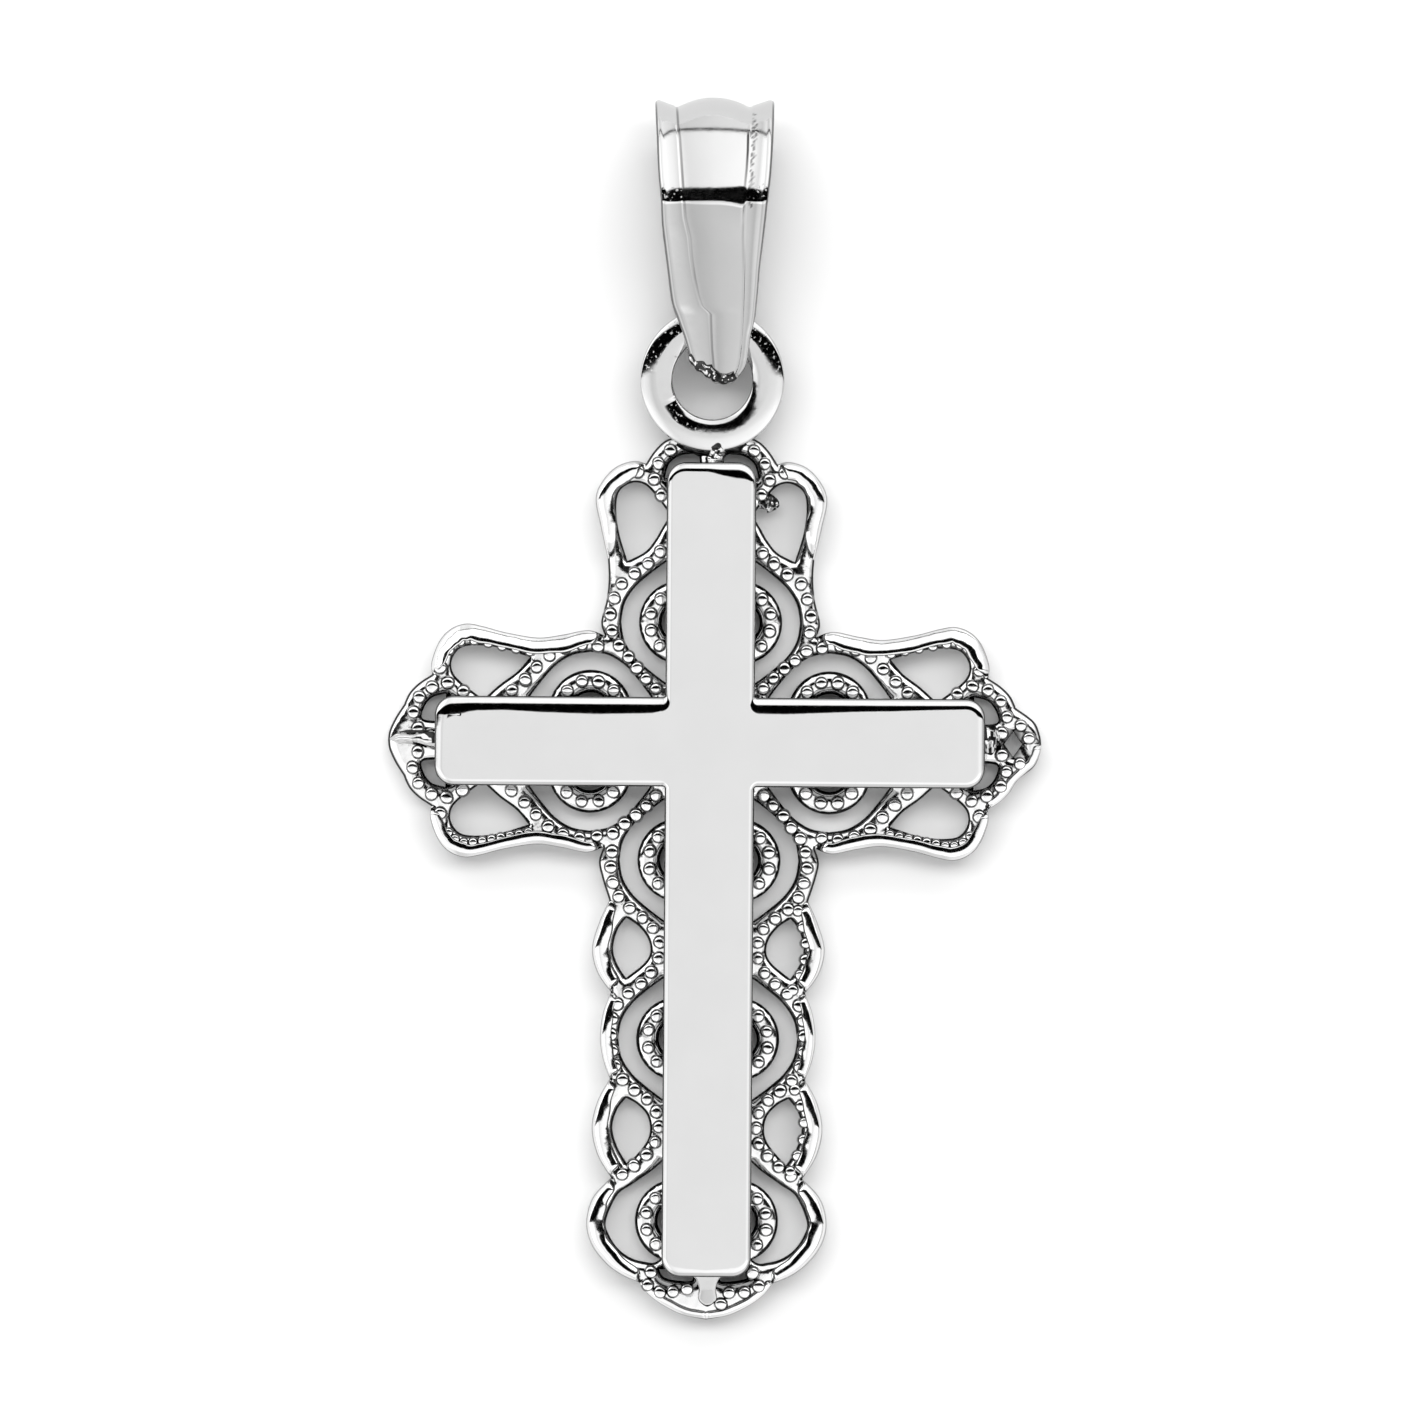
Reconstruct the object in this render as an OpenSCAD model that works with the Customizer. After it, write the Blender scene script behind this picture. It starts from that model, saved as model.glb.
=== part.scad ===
// Cross charm: a plain raised cross on a pierced, grained lace cross, with a
// hanging ring and a tapered bail. It lies on its flat back, face up.
// X runs across the arms, Y from the foot towards the bail, Z up from the back.

/* [Plain cross] */
// Width of both bars
bar_w = 1.86; // [1.6:0.02:2.0]
// From the crossing to each side end
bar_reach_side = 5.72; // [5.6:0.02:5.8]
// From the crossing to the top end
bar_reach_up = 5.82; // [5.7:0.02:5.9]
// From the crossing to the foot
bar_reach_down = 11.12; // [11.0:0.02:11.2]
// Height of the face above the back
bar_top = 1.36; // [1.2:0.02:1.6]
// Radius of the corners of the bar ends
bar_corner = 0.4; // [0.3:0.05:0.6]
// Width of the softened edge round the face
bar_edge = 0.26; // [0.1:0.02:0.28]

/* [Lace] */
// Thickness of the pierced plate
plate_t = 0.5; // [0.4:0.05:0.6]
// Height of the polished rims above the back
rim_top = 0.82; // [0.7:0.02:0.9]
// Diameter of the grains
grain_d = 0.28; // [0.22:0.01:0.3]
// Height of the grains above the back
grain_top = 0.76; // [0.65:0.01:0.8]
// Distance from one grain to the next
grain_pitch = 0.33; // [0.31:0.01:0.4]
// From the crossing to the tip of the left arm
tip_left = 6.7; // [6.6:0.05:6.95]
// From the crossing to the tip of the right arm
tip_right = 6.9; // [6.6:0.05:6.95]
// From the crossing to the tip of the foot
foot_reach = 12.02; // [11.96:0.02:12.1]

/* [Ring] */
// Outer diameter of the hanging ring
ring_od = 3.0; // [2.8:0.05:3.2]
// Diameter of the hole in the ring
ring_id = 1.66; // [1.5:0.02:1.7]
// Thickness of the ring from back to front
ring_t = 0.72; // [0.6:0.02:0.8]
// From the crossing to the middle of the ring
ring_y = 7.54; // [7.4:0.02:7.6]
// Height of the middle of the ring above the back
ring_z = 0.8; // [0.76:0.02:0.86]

/* [Bail] */
// Depth from back to front at the thickest
bail_depth = 2.9; // [2.7:0.05:3.2]
// Length of the rounded arch at the top, along the bail
bail_arch = 2.0; // [1.6:0.05:2.2]
// Thickness of the metal
bail_t = 0.34; // [0.28:0.02:0.4]
// From the crossing to the bottom tip
bail_tip_y = 7.44; // [7.3:0.02:7.5]
// From the crossing to the top
bail_top_y = 13.4; // [13.2:0.05:13.6]
// Slope of the front above the surface, in degrees
bail_slope = 26.6; // [24:0.2:29]
// Turn of the bail against the cross, in degrees
bail_turn = 0.4; // [-1:0.1:1]

/* [Hidden] */
metal = "Gainsboro";
curve_steps = 2;
sliver = 0.02;

// The shapes are drawn from the crossing of the bars. The finished part has its
// origin in the middle of its outline.
origin_x = (tip_right - tip_left) / 2;
origin_y = (bail_top_y - foot_reach) / 2;

// Columns of the lace's tables: distance along the arm from the crossing, distance
// out from the arm's middle line, and on an edge the width of its polished rim.
ALONG = 0;
OUT = 1;
RIM = 2;

// Outer edge of a side arm, from the inner corner to the notch before its end.
side_arm_edge = [
    // along, out, rim
    [2.20, 2.20, 0.16],
    [2.55, 2.31, 0.22],
    [3.10, 2.21, 0.22],
    [3.60, 2.15, 0.26],
    [4.25, 2.25, 0.28],
    [4.75, 2.38, 0.32],
    [5.10, 2.43, 0.34],
    [5.42, 2.31, 0.30],
    [5.65, 2.05, 0.24],
    [5.80, 1.64, 0.14],
    [5.79, 1.37, 0.10]
];
// The same edge on the upper arm: beside the grains it has no polished rim.
up_arm_low_edge = [
    // along, out
    [2.20, 2.20],
    [2.48, 2.28],
    [2.95, 2.17],
    [3.40, 2.13],
    [3.80, 2.15]
];
up_arm_high_edge = [
    // along, out, rim
    [3.80, 2.15, 0.14],
    [4.50, 2.31, 0.24],
    [5.05, 2.41, 0.30],
    [5.42, 2.27, 0.32],
    [5.72, 1.98, 0.32],
    [5.84, 1.62, 0.26],
    [5.79, 1.37, 0.16]
];
// Scallop at an arm's end, up to the notch beside the tip.
end_scallop = [
    // along, out
    [5.79, 1.37],
    [6.05, 1.20],
    [6.25, 1.00],
    [6.36, 0.78]
];
up_tip = 6.5;

// Outer edge of the shaft: the plain lobe under the arm, the rimmed lobes between
// the notches, and the scallop round the foot.
shaft_top_edge = [
    // along, out
    [2.20, 2.20],
    [2.50, 2.29],
    [2.85, 2.22],
    [3.31, 2.07]
];
first_eye_edge = [
    // along, out, rim
    [3.31, 2.07, 0.14],
    [3.75, 2.27, 0.22],
    [4.30, 2.42, 0.28],
    [4.80, 2.31, 0.24],
    [5.22, 2.02, 0.16]
];
second_rosette_edge = [
    // along, out
    [5.22, 2.02],
    [5.65, 2.18],
    [6.15, 2.24],
    [6.60, 2.18],
    [7.02, 2.03]
];
second_eye_edge = [
    // along, out, rim
    [7.02, 2.03, 0.14],
    [7.50, 2.29, 0.22],
    [8.05, 2.40, 0.28],
    [8.60, 2.28, 0.24],
    [9.08, 1.99, 0.16]
];
foot_lobe_edge = [
    // along, out, rim
    [9.08, 1.99, 0.16],
    [9.50, 2.37, 0.26],
    [10.00, 2.50, 0.30],
    [10.45, 2.40, 0.32],
    [10.85, 2.10, 0.30],
    [11.10, 1.76, 0.26],
    [11.25, 1.40, 0.18]
];
foot_scallop = [
    // along, out
    [11.25, 1.40],
    [11.52, 1.18],
    [11.75, 0.85],
    [11.93, 0.45],
    [foot_reach, 0.00]
];
rimmed_shaft_edges = [first_eye_edge, second_eye_edge, foot_lobe_edge];

// Gaps that are cut right through. A gap with a point in it is two curves.
drop_gap_outer = [
    [3.76, 1.74], [4.35, 1.92], [4.85, 1.98], [5.20, 1.92], [5.38, 1.67], [5.35, 1.40], [5.12, 1.16], [4.72, 0.86]
];
drop_gap_inner = [[4.72, 0.86], [4.38, 1.17], [4.02, 1.44], [3.76, 1.74]];
first_eye_outer = [[3.67, 1.71], [3.92, 1.89], [4.30, 1.98], [4.62, 1.90], [4.92, 1.71]];
first_eye_inner = [[4.92, 1.71], [4.62, 1.34], [4.38, 1.21], [4.10, 1.26], [3.85, 1.45], [3.67, 1.71]];
second_eye_outer = [[7.42, 1.69], [7.68, 1.88], [8.05, 1.97], [8.45, 1.86], [8.80, 1.65]];
second_eye_inner = [[8.80, 1.65], [8.40, 1.30], [8.10, 1.19], [7.78, 1.25], [7.55, 1.46], [7.42, 1.69]];
end_gap = [[5.50, 0.97], [5.78, 0.89], [5.95, 0.68], [5.97, 0.44], [5.50, 0.40]];
foot_end_gap = [[10.98, 1.02], [11.18, 0.92], [11.28, 0.62], [11.26, 0.26], [11.00, 0.24]];
// Half of the outline of the curved gap round a rosette, along from its middle.
rosette_gap_half = [[0.00, 1.86], [0.38, 1.79], [0.72, 1.58], [1.00, 1.27], [1.24, 0.95], [1.36, 0.74]];
foot_gap = [
    [8.55, 0.74], [8.88, 1.08], [9.21, 1.54], [9.45, 1.86], [9.98, 2.09], [10.28, 2.02],
    [10.56, 1.83], [10.75, 1.56], [10.83, 1.27], [10.83, 1.05], [10.60, 0.74]
];
tip_gap_from = 6.13;
tip_gap_to = 6.5;
tip_gap_half = 0.26;

// Rosettes: a disc with an arc of grains round a small hole.
rosette_r = 0.87;
rosette_hole_r = 0.4;
rosette_out = 0.62;
rosette_grain_r = 0.64;
rosette_grain_angles = [42, 74, 106, 138];
arm_rosette = 2.49;
shaft_rosettes = [2.46, 6.18];
foot_rosette = 9.97;

// Rows of grains, as curves along the lanes between the gaps.
corner_row = [[1.10, 1.12], [1.42, 1.44], [1.70, 1.66], [2.00, 1.90]];
side_wave_row = [
    [2.33, 1.98], [2.62, 2.02], [2.95, 1.97], [3.28, 1.83], [3.55, 1.60], [3.82, 1.30], [4.12, 1.04]
];
up_wave_row = [
    [2.30, 2.05], [2.62, 2.09], [2.95, 2.02], [3.24, 1.91], [3.45, 1.66], [3.68, 1.35], [3.95, 1.06]
];
drop_end_row = [[5.61, 1.52], [5.44, 1.17], [5.14, 1.03]];
side_end_row = [[5.79, 1.11], [6.07, 0.87], [6.17, 0.56], [6.08, 0.24]];
up_end_row = [[5.79, 1.11], [6.08, 0.87]];
tip_row = [[6.48, 0.42], [6.64, 0.15]];
shaft_wave_row = [
    [2.28, 2.01], [2.62, 2.04], [2.96, 1.97], [3.30, 1.82], [3.54, 1.55], [3.73, 1.28], [4.00, 1.07],
    [4.30, 1.01], [4.60, 1.07], [4.92, 1.28], [5.14, 1.54], [5.35, 1.80], [5.65, 1.95], [6.15, 2.01],
    [6.65, 1.94], [6.98, 1.80], [7.22, 1.55], [7.40, 1.30], [7.66, 1.08], [7.96, 1.01], [8.30, 1.05],
    [8.60, 1.26], [8.82, 1.50], [9.02, 1.76]
];
foot_row = [[11.05, 1.04], [11.30, 1.16], [11.50, 0.88], [11.50, 0.52], [11.70, 0.24]];

// Section of a rim: share of its width from the edge, height above the back.
rim_inset = 0.02;
rim_end_inset = 0.3;
rim_root = plate_t - 0.1;
rim_section = [
    [0.00, rim_root],
    [0.00, plate_t + 0.7 * (rim_top - plate_t)],
    [0.45, rim_top],
    [1.00, rim_root]
];

// Softened edge of the plain cross: share of the edge's width, share of its drop.
bar_edge_steps = [[0, 1], [0.3, 0.3], [1, 0]];

// The plate is left solid under the plain cross, a little inside its outline.
spine_half = bar_w / 2 - 0.04;
spine_end = 0.28;

// Solder tabs and seat that join the plain cross and the ring to the lace
tab_z = 0.98;
foot_tab_half = 0.18;
foot_tab_reach = 11.64;
side_tab_half = 0.22;
right_tab_reach = 6.05;
nib_x = 0.07;
nib_reach = 6.12;
nib_half = 0.12;
ring_seat_y = 6.3;
ring_seat_x = 0.5;
ring_seat_r = 0.2;

// Bail, seen from the side as a loop: it turns round the ring at the tip.
bail_gap = 0.06;
bail_turn_r = ring_t / 2 + bail_gap + bail_t;
bail_reach = bail_top_y - bail_tip_y;
bail_arch_at = bail_reach - bail_arch;
bail_turn_steps = 6;
bail_slope_steps = 6;
bail_arch_steps = 12;
bail_back_steps = 3;
// Half width of the bail and of its middle panel, by the distance up from the tip
bail_half_widths = [
    [0.00, 0.24], [0.10, 0.33], [0.30, 0.46], [0.62, 0.60], [1.39, 0.79], [2.18, 0.89], [3.22, 1.01], [4.06, 1.15],
    [4.90, 1.20], [5.96, 1.23]
];
bail_panel_shares = [[0.0, 0.10], [1.5, 0.12], [2.2, 0.54], [3.2, 0.58], [4.1, 0.57], [4.9, 0.60], [5.96, 0.66]];
// The relief of its face fades towards the tip, and the tip leans to one side.
bail_relief = [[0.0, 0.1], [0.5, 0.3], [1.4, 1.0]];
bail_lean = [[0.0, 0.2], [0.3, 0.1], [0.75, 0.02], [1.1, 0.0]];
bail_dome = 0.18;
bail_valley = 0.15;
bail_lip = 0.07;

// A smooth open curve through points, with all columns of the table kept.
function blend(p, q, r, s, t) =
    0.5 * (2 * q + (r - p) * t + (2 * p - 5 * q + 4 * r - s) * t * t
           + (3 * q - p - 3 * r + s) * t * t * t);
function curve(points) =
    let (last = len(points) - 1)
    concat(
        [for (i = [0:last - 1], k = [0:curve_steps - 1])
            blend(points[max(i - 1, 0)], points[i], points[i + 1], points[min(i + 2, last)], k / curve_steps)],
        [points[last]]);
function flat(points) = [for (p = points) [p[ALONG], p[OUT]]];
function joined(curves) = [for (points = curves, p = flat(curve(points))) p];
function mirrored(points) = [for (i = [len(points) - 1:-1:0]) [points[i][ALONG], -points[i][OUT]]];

// Evenly spaced places along a curve.
function run(path, i = 0, so_far = 0) =
    i >= len(path) - 1 ? [so_far] : concat([so_far], run(path, i + 1, so_far + norm(path[i + 1] - path[i])));
function place(path, reach, s) =
    let (i = max([for (k = [0:len(path) - 2]) if (k == 0 || reach[k] <= s) k]))
    path[i] + (path[i + 1] - path[i]) * (s - reach[i]) / (reach[i + 1] - reach[i]);
function spaced(points, pitch) =
    let (path = curve(points),
         reach = run(path),
         total = reach[len(reach) - 1],
         count = max(1, round(total / pitch)))
    [for (k = [0:count]) place(path, reach, k * total / count)];

// Draws its children on both sides of an arm's middle line.
module both_sides() {
    children();
    mirror([0, 1, 0]) children();
}

// One grain: a low six-sided point on a foot that is sunk in the plate.
module grain() {
    hull() {
        translate([0, 0, plate_t - sliver])
            cylinder(d = grain_d, h = sliver, $fn = 6);
        translate([0, 0, plate_t])
            cylinder(d1 = grain_d, d2 = 0, h = grain_top - plate_t, $fn = 6);
    }
}

module grains(row) {
    for (p = spaced(row, grain_pitch))
        translate([p[ALONG], p[OUT], 0]) grain();
}

// A curve's points with its two ends drawn in a little.
function drawn_in(path) =
    let (last = len(path) - 1)
    [for (i = [0:last])
        i == 0 ? path[0] + (path[1] - path[0]) * rim_end_inset
        : i == last ? path[last] + (path[last - 1] - path[last]) * rim_end_inset
        : path[i]];

// A polished rim: a ridge of metal along an outer edge, made as a swept solid.
module rim(edge) {
    path = drawn_in(curve(edge));
    last = len(path) - 1;
    sides = len(rim_section);
    points = [
        for (i = [0:last])
            let (ahead = path[min(i + 1, last)] - path[max(i - 1, 0)],
                 unit = [ahead[ALONG], ahead[OUT]] / norm([ahead[ALONG], ahead[OUT]]),
                 inward = [unit[1], -unit[0]])
            for (corner = rim_section)
                concat([path[i][ALONG], path[i][OUT]] + inward * (rim_inset + corner[0] * path[i][RIM]), [corner[1]])
    ];
    faces = [
        for (i = [0:last - 1], k = [0:sides - 1])
            let (a = i * sides + k, b = i * sides + (k + 1) % sides)
            [a, a + sides, b + sides, b]
    ];
    first_end = [for (k = [0:sides - 1]) k];
    last_end = [for (k = [sides - 1:-1:0]) last * sides + k];
    polyhedron(points, concat(faces, [first_end, last_end]));
}

// Outlines of the arms and the shaft, drawn along X and mirrored.
module outline(edges) {
    half = concat([[0, 0]], joined(edges));
    polygon(concat(half, mirrored(half)));
}

function tip_edge(tip) = [[6.36, 0.76], [tip - 0.16, 0.48], [tip - 0.03, 0.2], [tip, 0]];

module side_arm_outline(tip) {
    outline([side_arm_edge, end_scallop, tip_edge(tip)]);
}

module up_arm_outline() {
    outline([up_arm_low_edge, up_arm_high_edge, end_scallop, [[up_tip, 0.6], [up_tip, 0]]]);
}

module shaft_outline() {
    outline([shaft_top_edge, first_eye_edge, second_rosette_edge, second_eye_edge, foot_lobe_edge, foot_scallop]);
}

// The gaps round and inside a rosette, with its disc left standing.
module rosette_gaps(along, gap) {
    difference() {
        polygon(gap);
        translate([along, rosette_out]) circle(r = rosette_r, $fn = 24);
    }
    translate([along, rosette_out]) circle(r = rosette_hole_r, $fn = 12);
}

function whole_rosette_gap(along) =
    let (half = curve(rosette_gap_half))
    concat([for (p = half) [along + p[0], p[1]]],
           [for (i = [len(half) - 1:-1:1]) [along - half[i][0], half[i][1]]]);

module arm_gaps() {
    both_sides() {
        rosette_gaps(arm_rosette, whole_rosette_gap(arm_rosette));
        polygon(joined([drop_gap_outer, drop_gap_inner]));
        polygon(curve(end_gap));
    }
}

module shaft_gaps() {
    both_sides() {
        for (along = shaft_rosettes) rosette_gaps(along, whole_rosette_gap(along));
        rosette_gaps(foot_rosette, curve(foot_gap));
        polygon(joined([first_eye_outer, first_eye_inner]));
        polygon(joined([second_eye_outer, second_eye_inner]));
        polygon(curve(foot_end_gap));
    }
}

module tip_gap() {
    middle = (tip_gap_from + tip_gap_to) / 2;
    polygon([[tip_gap_from, 0], [middle, tip_gap_half], [tip_gap_to, 0], [middle, -tip_gap_half]]);
}

// The solid strips of the plate under the plain cross.
module spine() {
    side = bar_reach_side - spine_end;
    up = bar_reach_up - spine_end;
    down = bar_reach_down - spine_end;
    translate([-side, -spine_half]) square([2 * side, 2 * spine_half]);
    translate([-spine_half, -down]) square([2 * spine_half, up + down]);
}

// The pierced plate of the lace.
module lace_plate() {
    linear_extrude(plate_t) difference() {
        union() {
            side_arm_outline(tip_right);
            rotate(180) side_arm_outline(tip_left);
            rotate(90) up_arm_outline();
            rotate(-90) shaft_outline();
        }
        difference() {
            union() {
                for (turn = [0, 90, 180]) rotate(turn) arm_gaps();
                rotate(-90) shaft_gaps();
                tip_gap();
            }
            spine();
        }
    }
}

// The polished rims of the lace.
module lace_rims() {
    for (turn = [0, 180]) rotate(turn) both_sides() rim(side_arm_edge);
    rotate(90) both_sides() rim(up_arm_high_edge);
    rotate(-90) both_sides() for (edge = rimmed_shaft_edges) rim(edge);
}

module rosette_grains(along) {
    for (angle = rosette_grain_angles)
        translate([along + rosette_grain_r * cos(angle), rosette_out + rosette_grain_r * sin(angle), 0])
            grain();
}

module arm_grains(rows) {
    both_sides() {
        for (row = rows) grains(row);
        rosette_grains(arm_rosette);
    }
}

// The grains of the lace, row by row.
module lace_grains() {
    arm_grains([side_wave_row, drop_end_row, side_end_row, tip_row]);
    rotate(180) arm_grains([side_wave_row, drop_end_row, side_end_row]);
    rotate(90) arm_grains([up_wave_row, drop_end_row, up_end_row]);
    for (turn = [0:90:270]) rotate(turn) grains(corner_row);
    rotate(-90) both_sides() {
        grains(shaft_wave_row);
        grains(foot_row);
        for (along = concat(shaft_rosettes, [foot_rosette])) rosette_grains(along);
    }
}

// A bar of the plain cross with rounded corners and a softened edge round its face.
module bar(left, right, low, high) {
    hull() {
        for (x = [left + bar_corner, right - bar_corner], y = [low + bar_corner, high - bar_corner]) {
            translate([x, y, rim_root]) cylinder(r = bar_corner, h = sliver, $fn = 16);
            for (edge = bar_edge_steps)
                translate([x, y, bar_top - edge[1] * bar_edge - sliver])
                    cylinder(r = bar_corner - edge[0] * bar_edge, h = sliver, $fn = 16);
        }
    }
}

module plain_cross() {
    bar(-bar_reach_side, bar_reach_side, -bar_w / 2, bar_w / 2);
    bar(-bar_w / 2, bar_w / 2, -bar_reach_down, bar_reach_up);
}

// A tapered tab of solder between two places, each with its half width and top.
module tab(from, from_half, from_z, to, to_half, to_z) {
    hull() {
        translate([from[0], from[1], rim_root]) cylinder(r = from_half, h = from_z - rim_root, $fn = 8);
        translate([to[0], to[1], rim_root]) cylinder(r = to_half, h = to_z - rim_root, $fn = 8);
    }
}

module tabs() {
    inset = side_tab_half;
    tab([0, inset - bar_reach_down], foot_tab_half, tab_z, [0, -foot_tab_reach], 0.08, rim_top);
    tab([inset - bar_reach_side, 0], side_tab_half, tab_z, [0.08 - tip_left, 0], 0.06, rim_top);
    tab([bar_reach_side - inset, 0], side_tab_half, tab_z, [right_tab_reach, 0], 0.14, rim_top);
    tab([nib_x, bar_reach_up - inset], nib_half, tab_z, [nib_x, nib_reach], nib_half, ring_z + ring_t / 2);
}

// The hanging ring: a flat round band with domed faces, on a seat of solder.
module hanging_ring() {
    band_half = (ring_od - ring_id) / 4;
    translate([0, ring_y, ring_z])
        rotate_extrude($fn = 36)
            translate([(ring_od + ring_id) / 4, 0])
                scale([band_half, ring_t / 2])
                    rotate(22.5) circle(r = 1, $fn = 8);
    hull() {
        for (side = [-1, 1])
            translate([side * ring_seat_x, ring_seat_y, 0])
                cylinder(r = ring_seat_r, h = ring_z, $fn = 8);
    }
}

module cross() {
    color(metal) {
        lace_plate();
        lace_rims();
        lace_grains();
        plain_cross();
        tabs();
        hanging_ring();
    }
}

// Side view of the bail's outside: distance up from the tip, height, and the
// direction in which the metal faces. It runs round the tip, up the sloping
// front, over the arch and back along the surface.
bail_loop = concat(
    [for (k = [0:bail_turn_steps])
        let (face = 270 - k * (180 - bail_slope) / bail_turn_steps)
        [bail_turn_r * (1 + cos(face)), bail_turn_r * (1 + sin(face)), face]],
    [for (k = [1:bail_slope_steps])
        let (share = k / (bail_slope_steps + 1), face = 90 + bail_slope, end = arch_point(face))
        [bail_turn_r * (1 + cos(face)) * (1 - share) + end[0] * share,
         bail_turn_r * (1 + sin(face)) * (1 - share) + end[1] * share, face]],
    [for (k = [0:bail_arch_steps])
        let (face = 90 + bail_slope - k * (180 + bail_slope) / bail_arch_steps)
        concat(arch_point(face), [face])],
    [for (k = [1:bail_back_steps])
        [bail_arch_at + (bail_turn_r - bail_arch_at) * k / (bail_back_steps + 1), 0, 270]]
);

// The place on the oval arch that faces the given way.
function arch_point(face) =
    let (a = bail_arch,
         b = bail_depth / 2,
         scale = norm([a * cos(face), b * sin(face)]))
    [bail_arch_at + a * a * cos(face) / scale, b + b * b * sin(face) / scale];

// Section across the bail: share of the half width, depth below the crown. The
// middle panel is slightly domed, and the side panels dip and rise to a lip.
function bail_section(panel, relief) =
    let (dome = bail_dome * panel * relief, valley = bail_valley * relief, lip = bail_lip * relief)
    [
        [-1, lip],
        [-(1 + panel) / 2, valley],
        [-panel, dome],
        [-panel / 3, 0],
        [panel / 3, 0],
        [panel, dome],
        [(1 + panel) / 2, valley],
        [1, lip],
        [1, bail_t + lip],
        [0.6, bail_t],
        [-0.6, bail_t],
        [-1, bail_t + lip]
    ];

module bail_band() {
    sides = len(bail_section(1, 1));
    count = len(bail_loop);
    points = [
        for (station = bail_loop)
            let (up = station[0],
                 half = lookup(up, bail_half_widths),
                 lean = lookup(up, bail_lean),
                 facing = [cos(station[2]), sin(station[2])])
            for (corner = bail_section(lookup(up, bail_panel_shares), lookup(up, bail_relief)))
                [lean + corner[0] * half, up - facing[0] * corner[1], station[1] - facing[1] * corner[1]]
    ];
    faces = [
        for (i = [0:count - 1], k = [0:sides - 1])
            let (next = (i + 1) % count, other = (k + 1) % sides)
            [i * sides + k, next * sides + k, next * sides + other, i * sides + other]
    ];
    polyhedron(points, faces);
}

module bail() {
    color(metal)
        translate([0, bail_tip_y, 0])
            rotate(bail_turn)
                bail_band();
}

module placed() {
    translate([-origin_x, -origin_y, 0]) children();
}

placed() cross();
placed() bail();
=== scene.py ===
"""Dresses the cross charm: camera, studio, silver and the finished metal pieces."""
import math
import random

import bpy
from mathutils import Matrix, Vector, geometry, kdtree, noise


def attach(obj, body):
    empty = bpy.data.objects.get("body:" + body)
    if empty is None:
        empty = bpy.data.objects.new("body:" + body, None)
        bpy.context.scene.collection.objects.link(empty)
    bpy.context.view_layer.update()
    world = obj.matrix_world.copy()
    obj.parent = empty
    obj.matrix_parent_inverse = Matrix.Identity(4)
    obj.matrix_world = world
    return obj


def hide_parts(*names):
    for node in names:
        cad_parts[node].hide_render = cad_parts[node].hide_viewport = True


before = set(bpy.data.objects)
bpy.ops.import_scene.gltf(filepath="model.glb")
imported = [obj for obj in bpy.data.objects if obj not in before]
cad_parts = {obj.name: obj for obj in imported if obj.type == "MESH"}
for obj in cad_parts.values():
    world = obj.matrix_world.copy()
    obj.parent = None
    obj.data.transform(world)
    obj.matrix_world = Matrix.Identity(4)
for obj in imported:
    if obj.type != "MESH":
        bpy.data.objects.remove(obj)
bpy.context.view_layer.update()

# Frame: lengths are in millimetres from the crossing of the bars until they are placed
MM = 0.001
ORIGIN_X = 0.1
ORIGIN_Y = 0.69
TURNS = (0, 90, 180, 270)
SIDES = (1, -1)
CURVE_STEPS = 8

# Material slot and CAD node that a piece stands for
CROSS = ("silver_cross", "cross")
BAIL = ("silver_bail", "bail")

# Camera: straight down, as in the photograph
PHOTO_PX = 1428
PX_PER_MM = 48.0
CROSSING_PX = (709.8, 742.1)
PHOTO_TURN = math.radians(0.41)
CAMERA_HEIGHT = 600.0
SENSOR = 36.0

# Plain cross
BAR_HALF = 0.93
BAR_SIDE = 5.72
BAR_UP = 5.82
BAR_DOWN = 11.12
BAR_TOP = 1.36
BAR_ROOT = 0.4
BAR_CORNER = 0.4
BAR_FILLET = 0.05

# Lace
GRAIN_TOP = 0.74
GRAIN_PITCH = 0.333
TIP_LEFT = 6.7
TIP_RIGHT = 6.9
UP_TIP = 6.5
FOOT_REACH = 12.02

# Ring
RING_Y = 7.54
RING_Z = 0.8
RING_OUTER = 1.5
RING_INNER = 0.83
RING_HALF_T = 0.36

# Bail
BAIL_TIP_Y = 7.44
BAIL_TOP_Y = 13.4
BAIL_T = 0.34
BAIL_TURN_R = 0.76
BAIL_TURN = math.radians(0.4)

# Edges of the lace: along the arm, out from its middle, and width of the rim where there is one
SIDE_ARM_EDGE = [
    (2.2, 2.2, 0.2), (2.55, 2.31, 0.3), (3.1, 2.21, 0.35), (3.6, 2.15, 0.34), (4.25, 2.25, 0.32),
    (4.75, 2.38, 0.34), (5.1, 2.43, 0.36), (5.42, 2.31, 0.36), (5.65, 2.05, 0.34), (5.8, 1.64, 0.28),
    (5.79, 1.37, 0.14)
]
UP_ARM_LOW_EDGE = [(2.2, 2.2), (2.48, 2.28), (2.95, 2.17), (3.4, 2.13), (3.8, 2.15)]
UP_ARM_HIGH_EDGE = [
    (3.8, 2.15, 0.24), (4.5, 2.31, 0.34), (5.05, 2.41, 0.38), (5.42, 2.27, 0.38), (5.72, 1.98, 0.38),
    (5.84, 1.62, 0.36), (5.79, 1.37, 0.26)
]
END_SCALLOP = [(5.79, 1.37), (6.05, 1.2), (6.25, 1), (6.36, 0.78)]
TIP_SHOULDER = (6.36, 0.76)
TIP_ROUND = [(0.16, 0.48), (0.03, 0.2), (0, 0)]
UP_TIP_HALF = 0.6
RIGHT_TIP_EDGE = [
    (5.79, 1.37, 0.12), (6.05, 1.2, 0.17), (6.25, 1, 0.19), (6.4, 0.76, 0.16), (6.6, 0.58, 0.17),
    (6.77, 0.42, 0.17), (6.87, 0.2, 0.16), (6.9, 0.02, 0.12)
]
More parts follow.
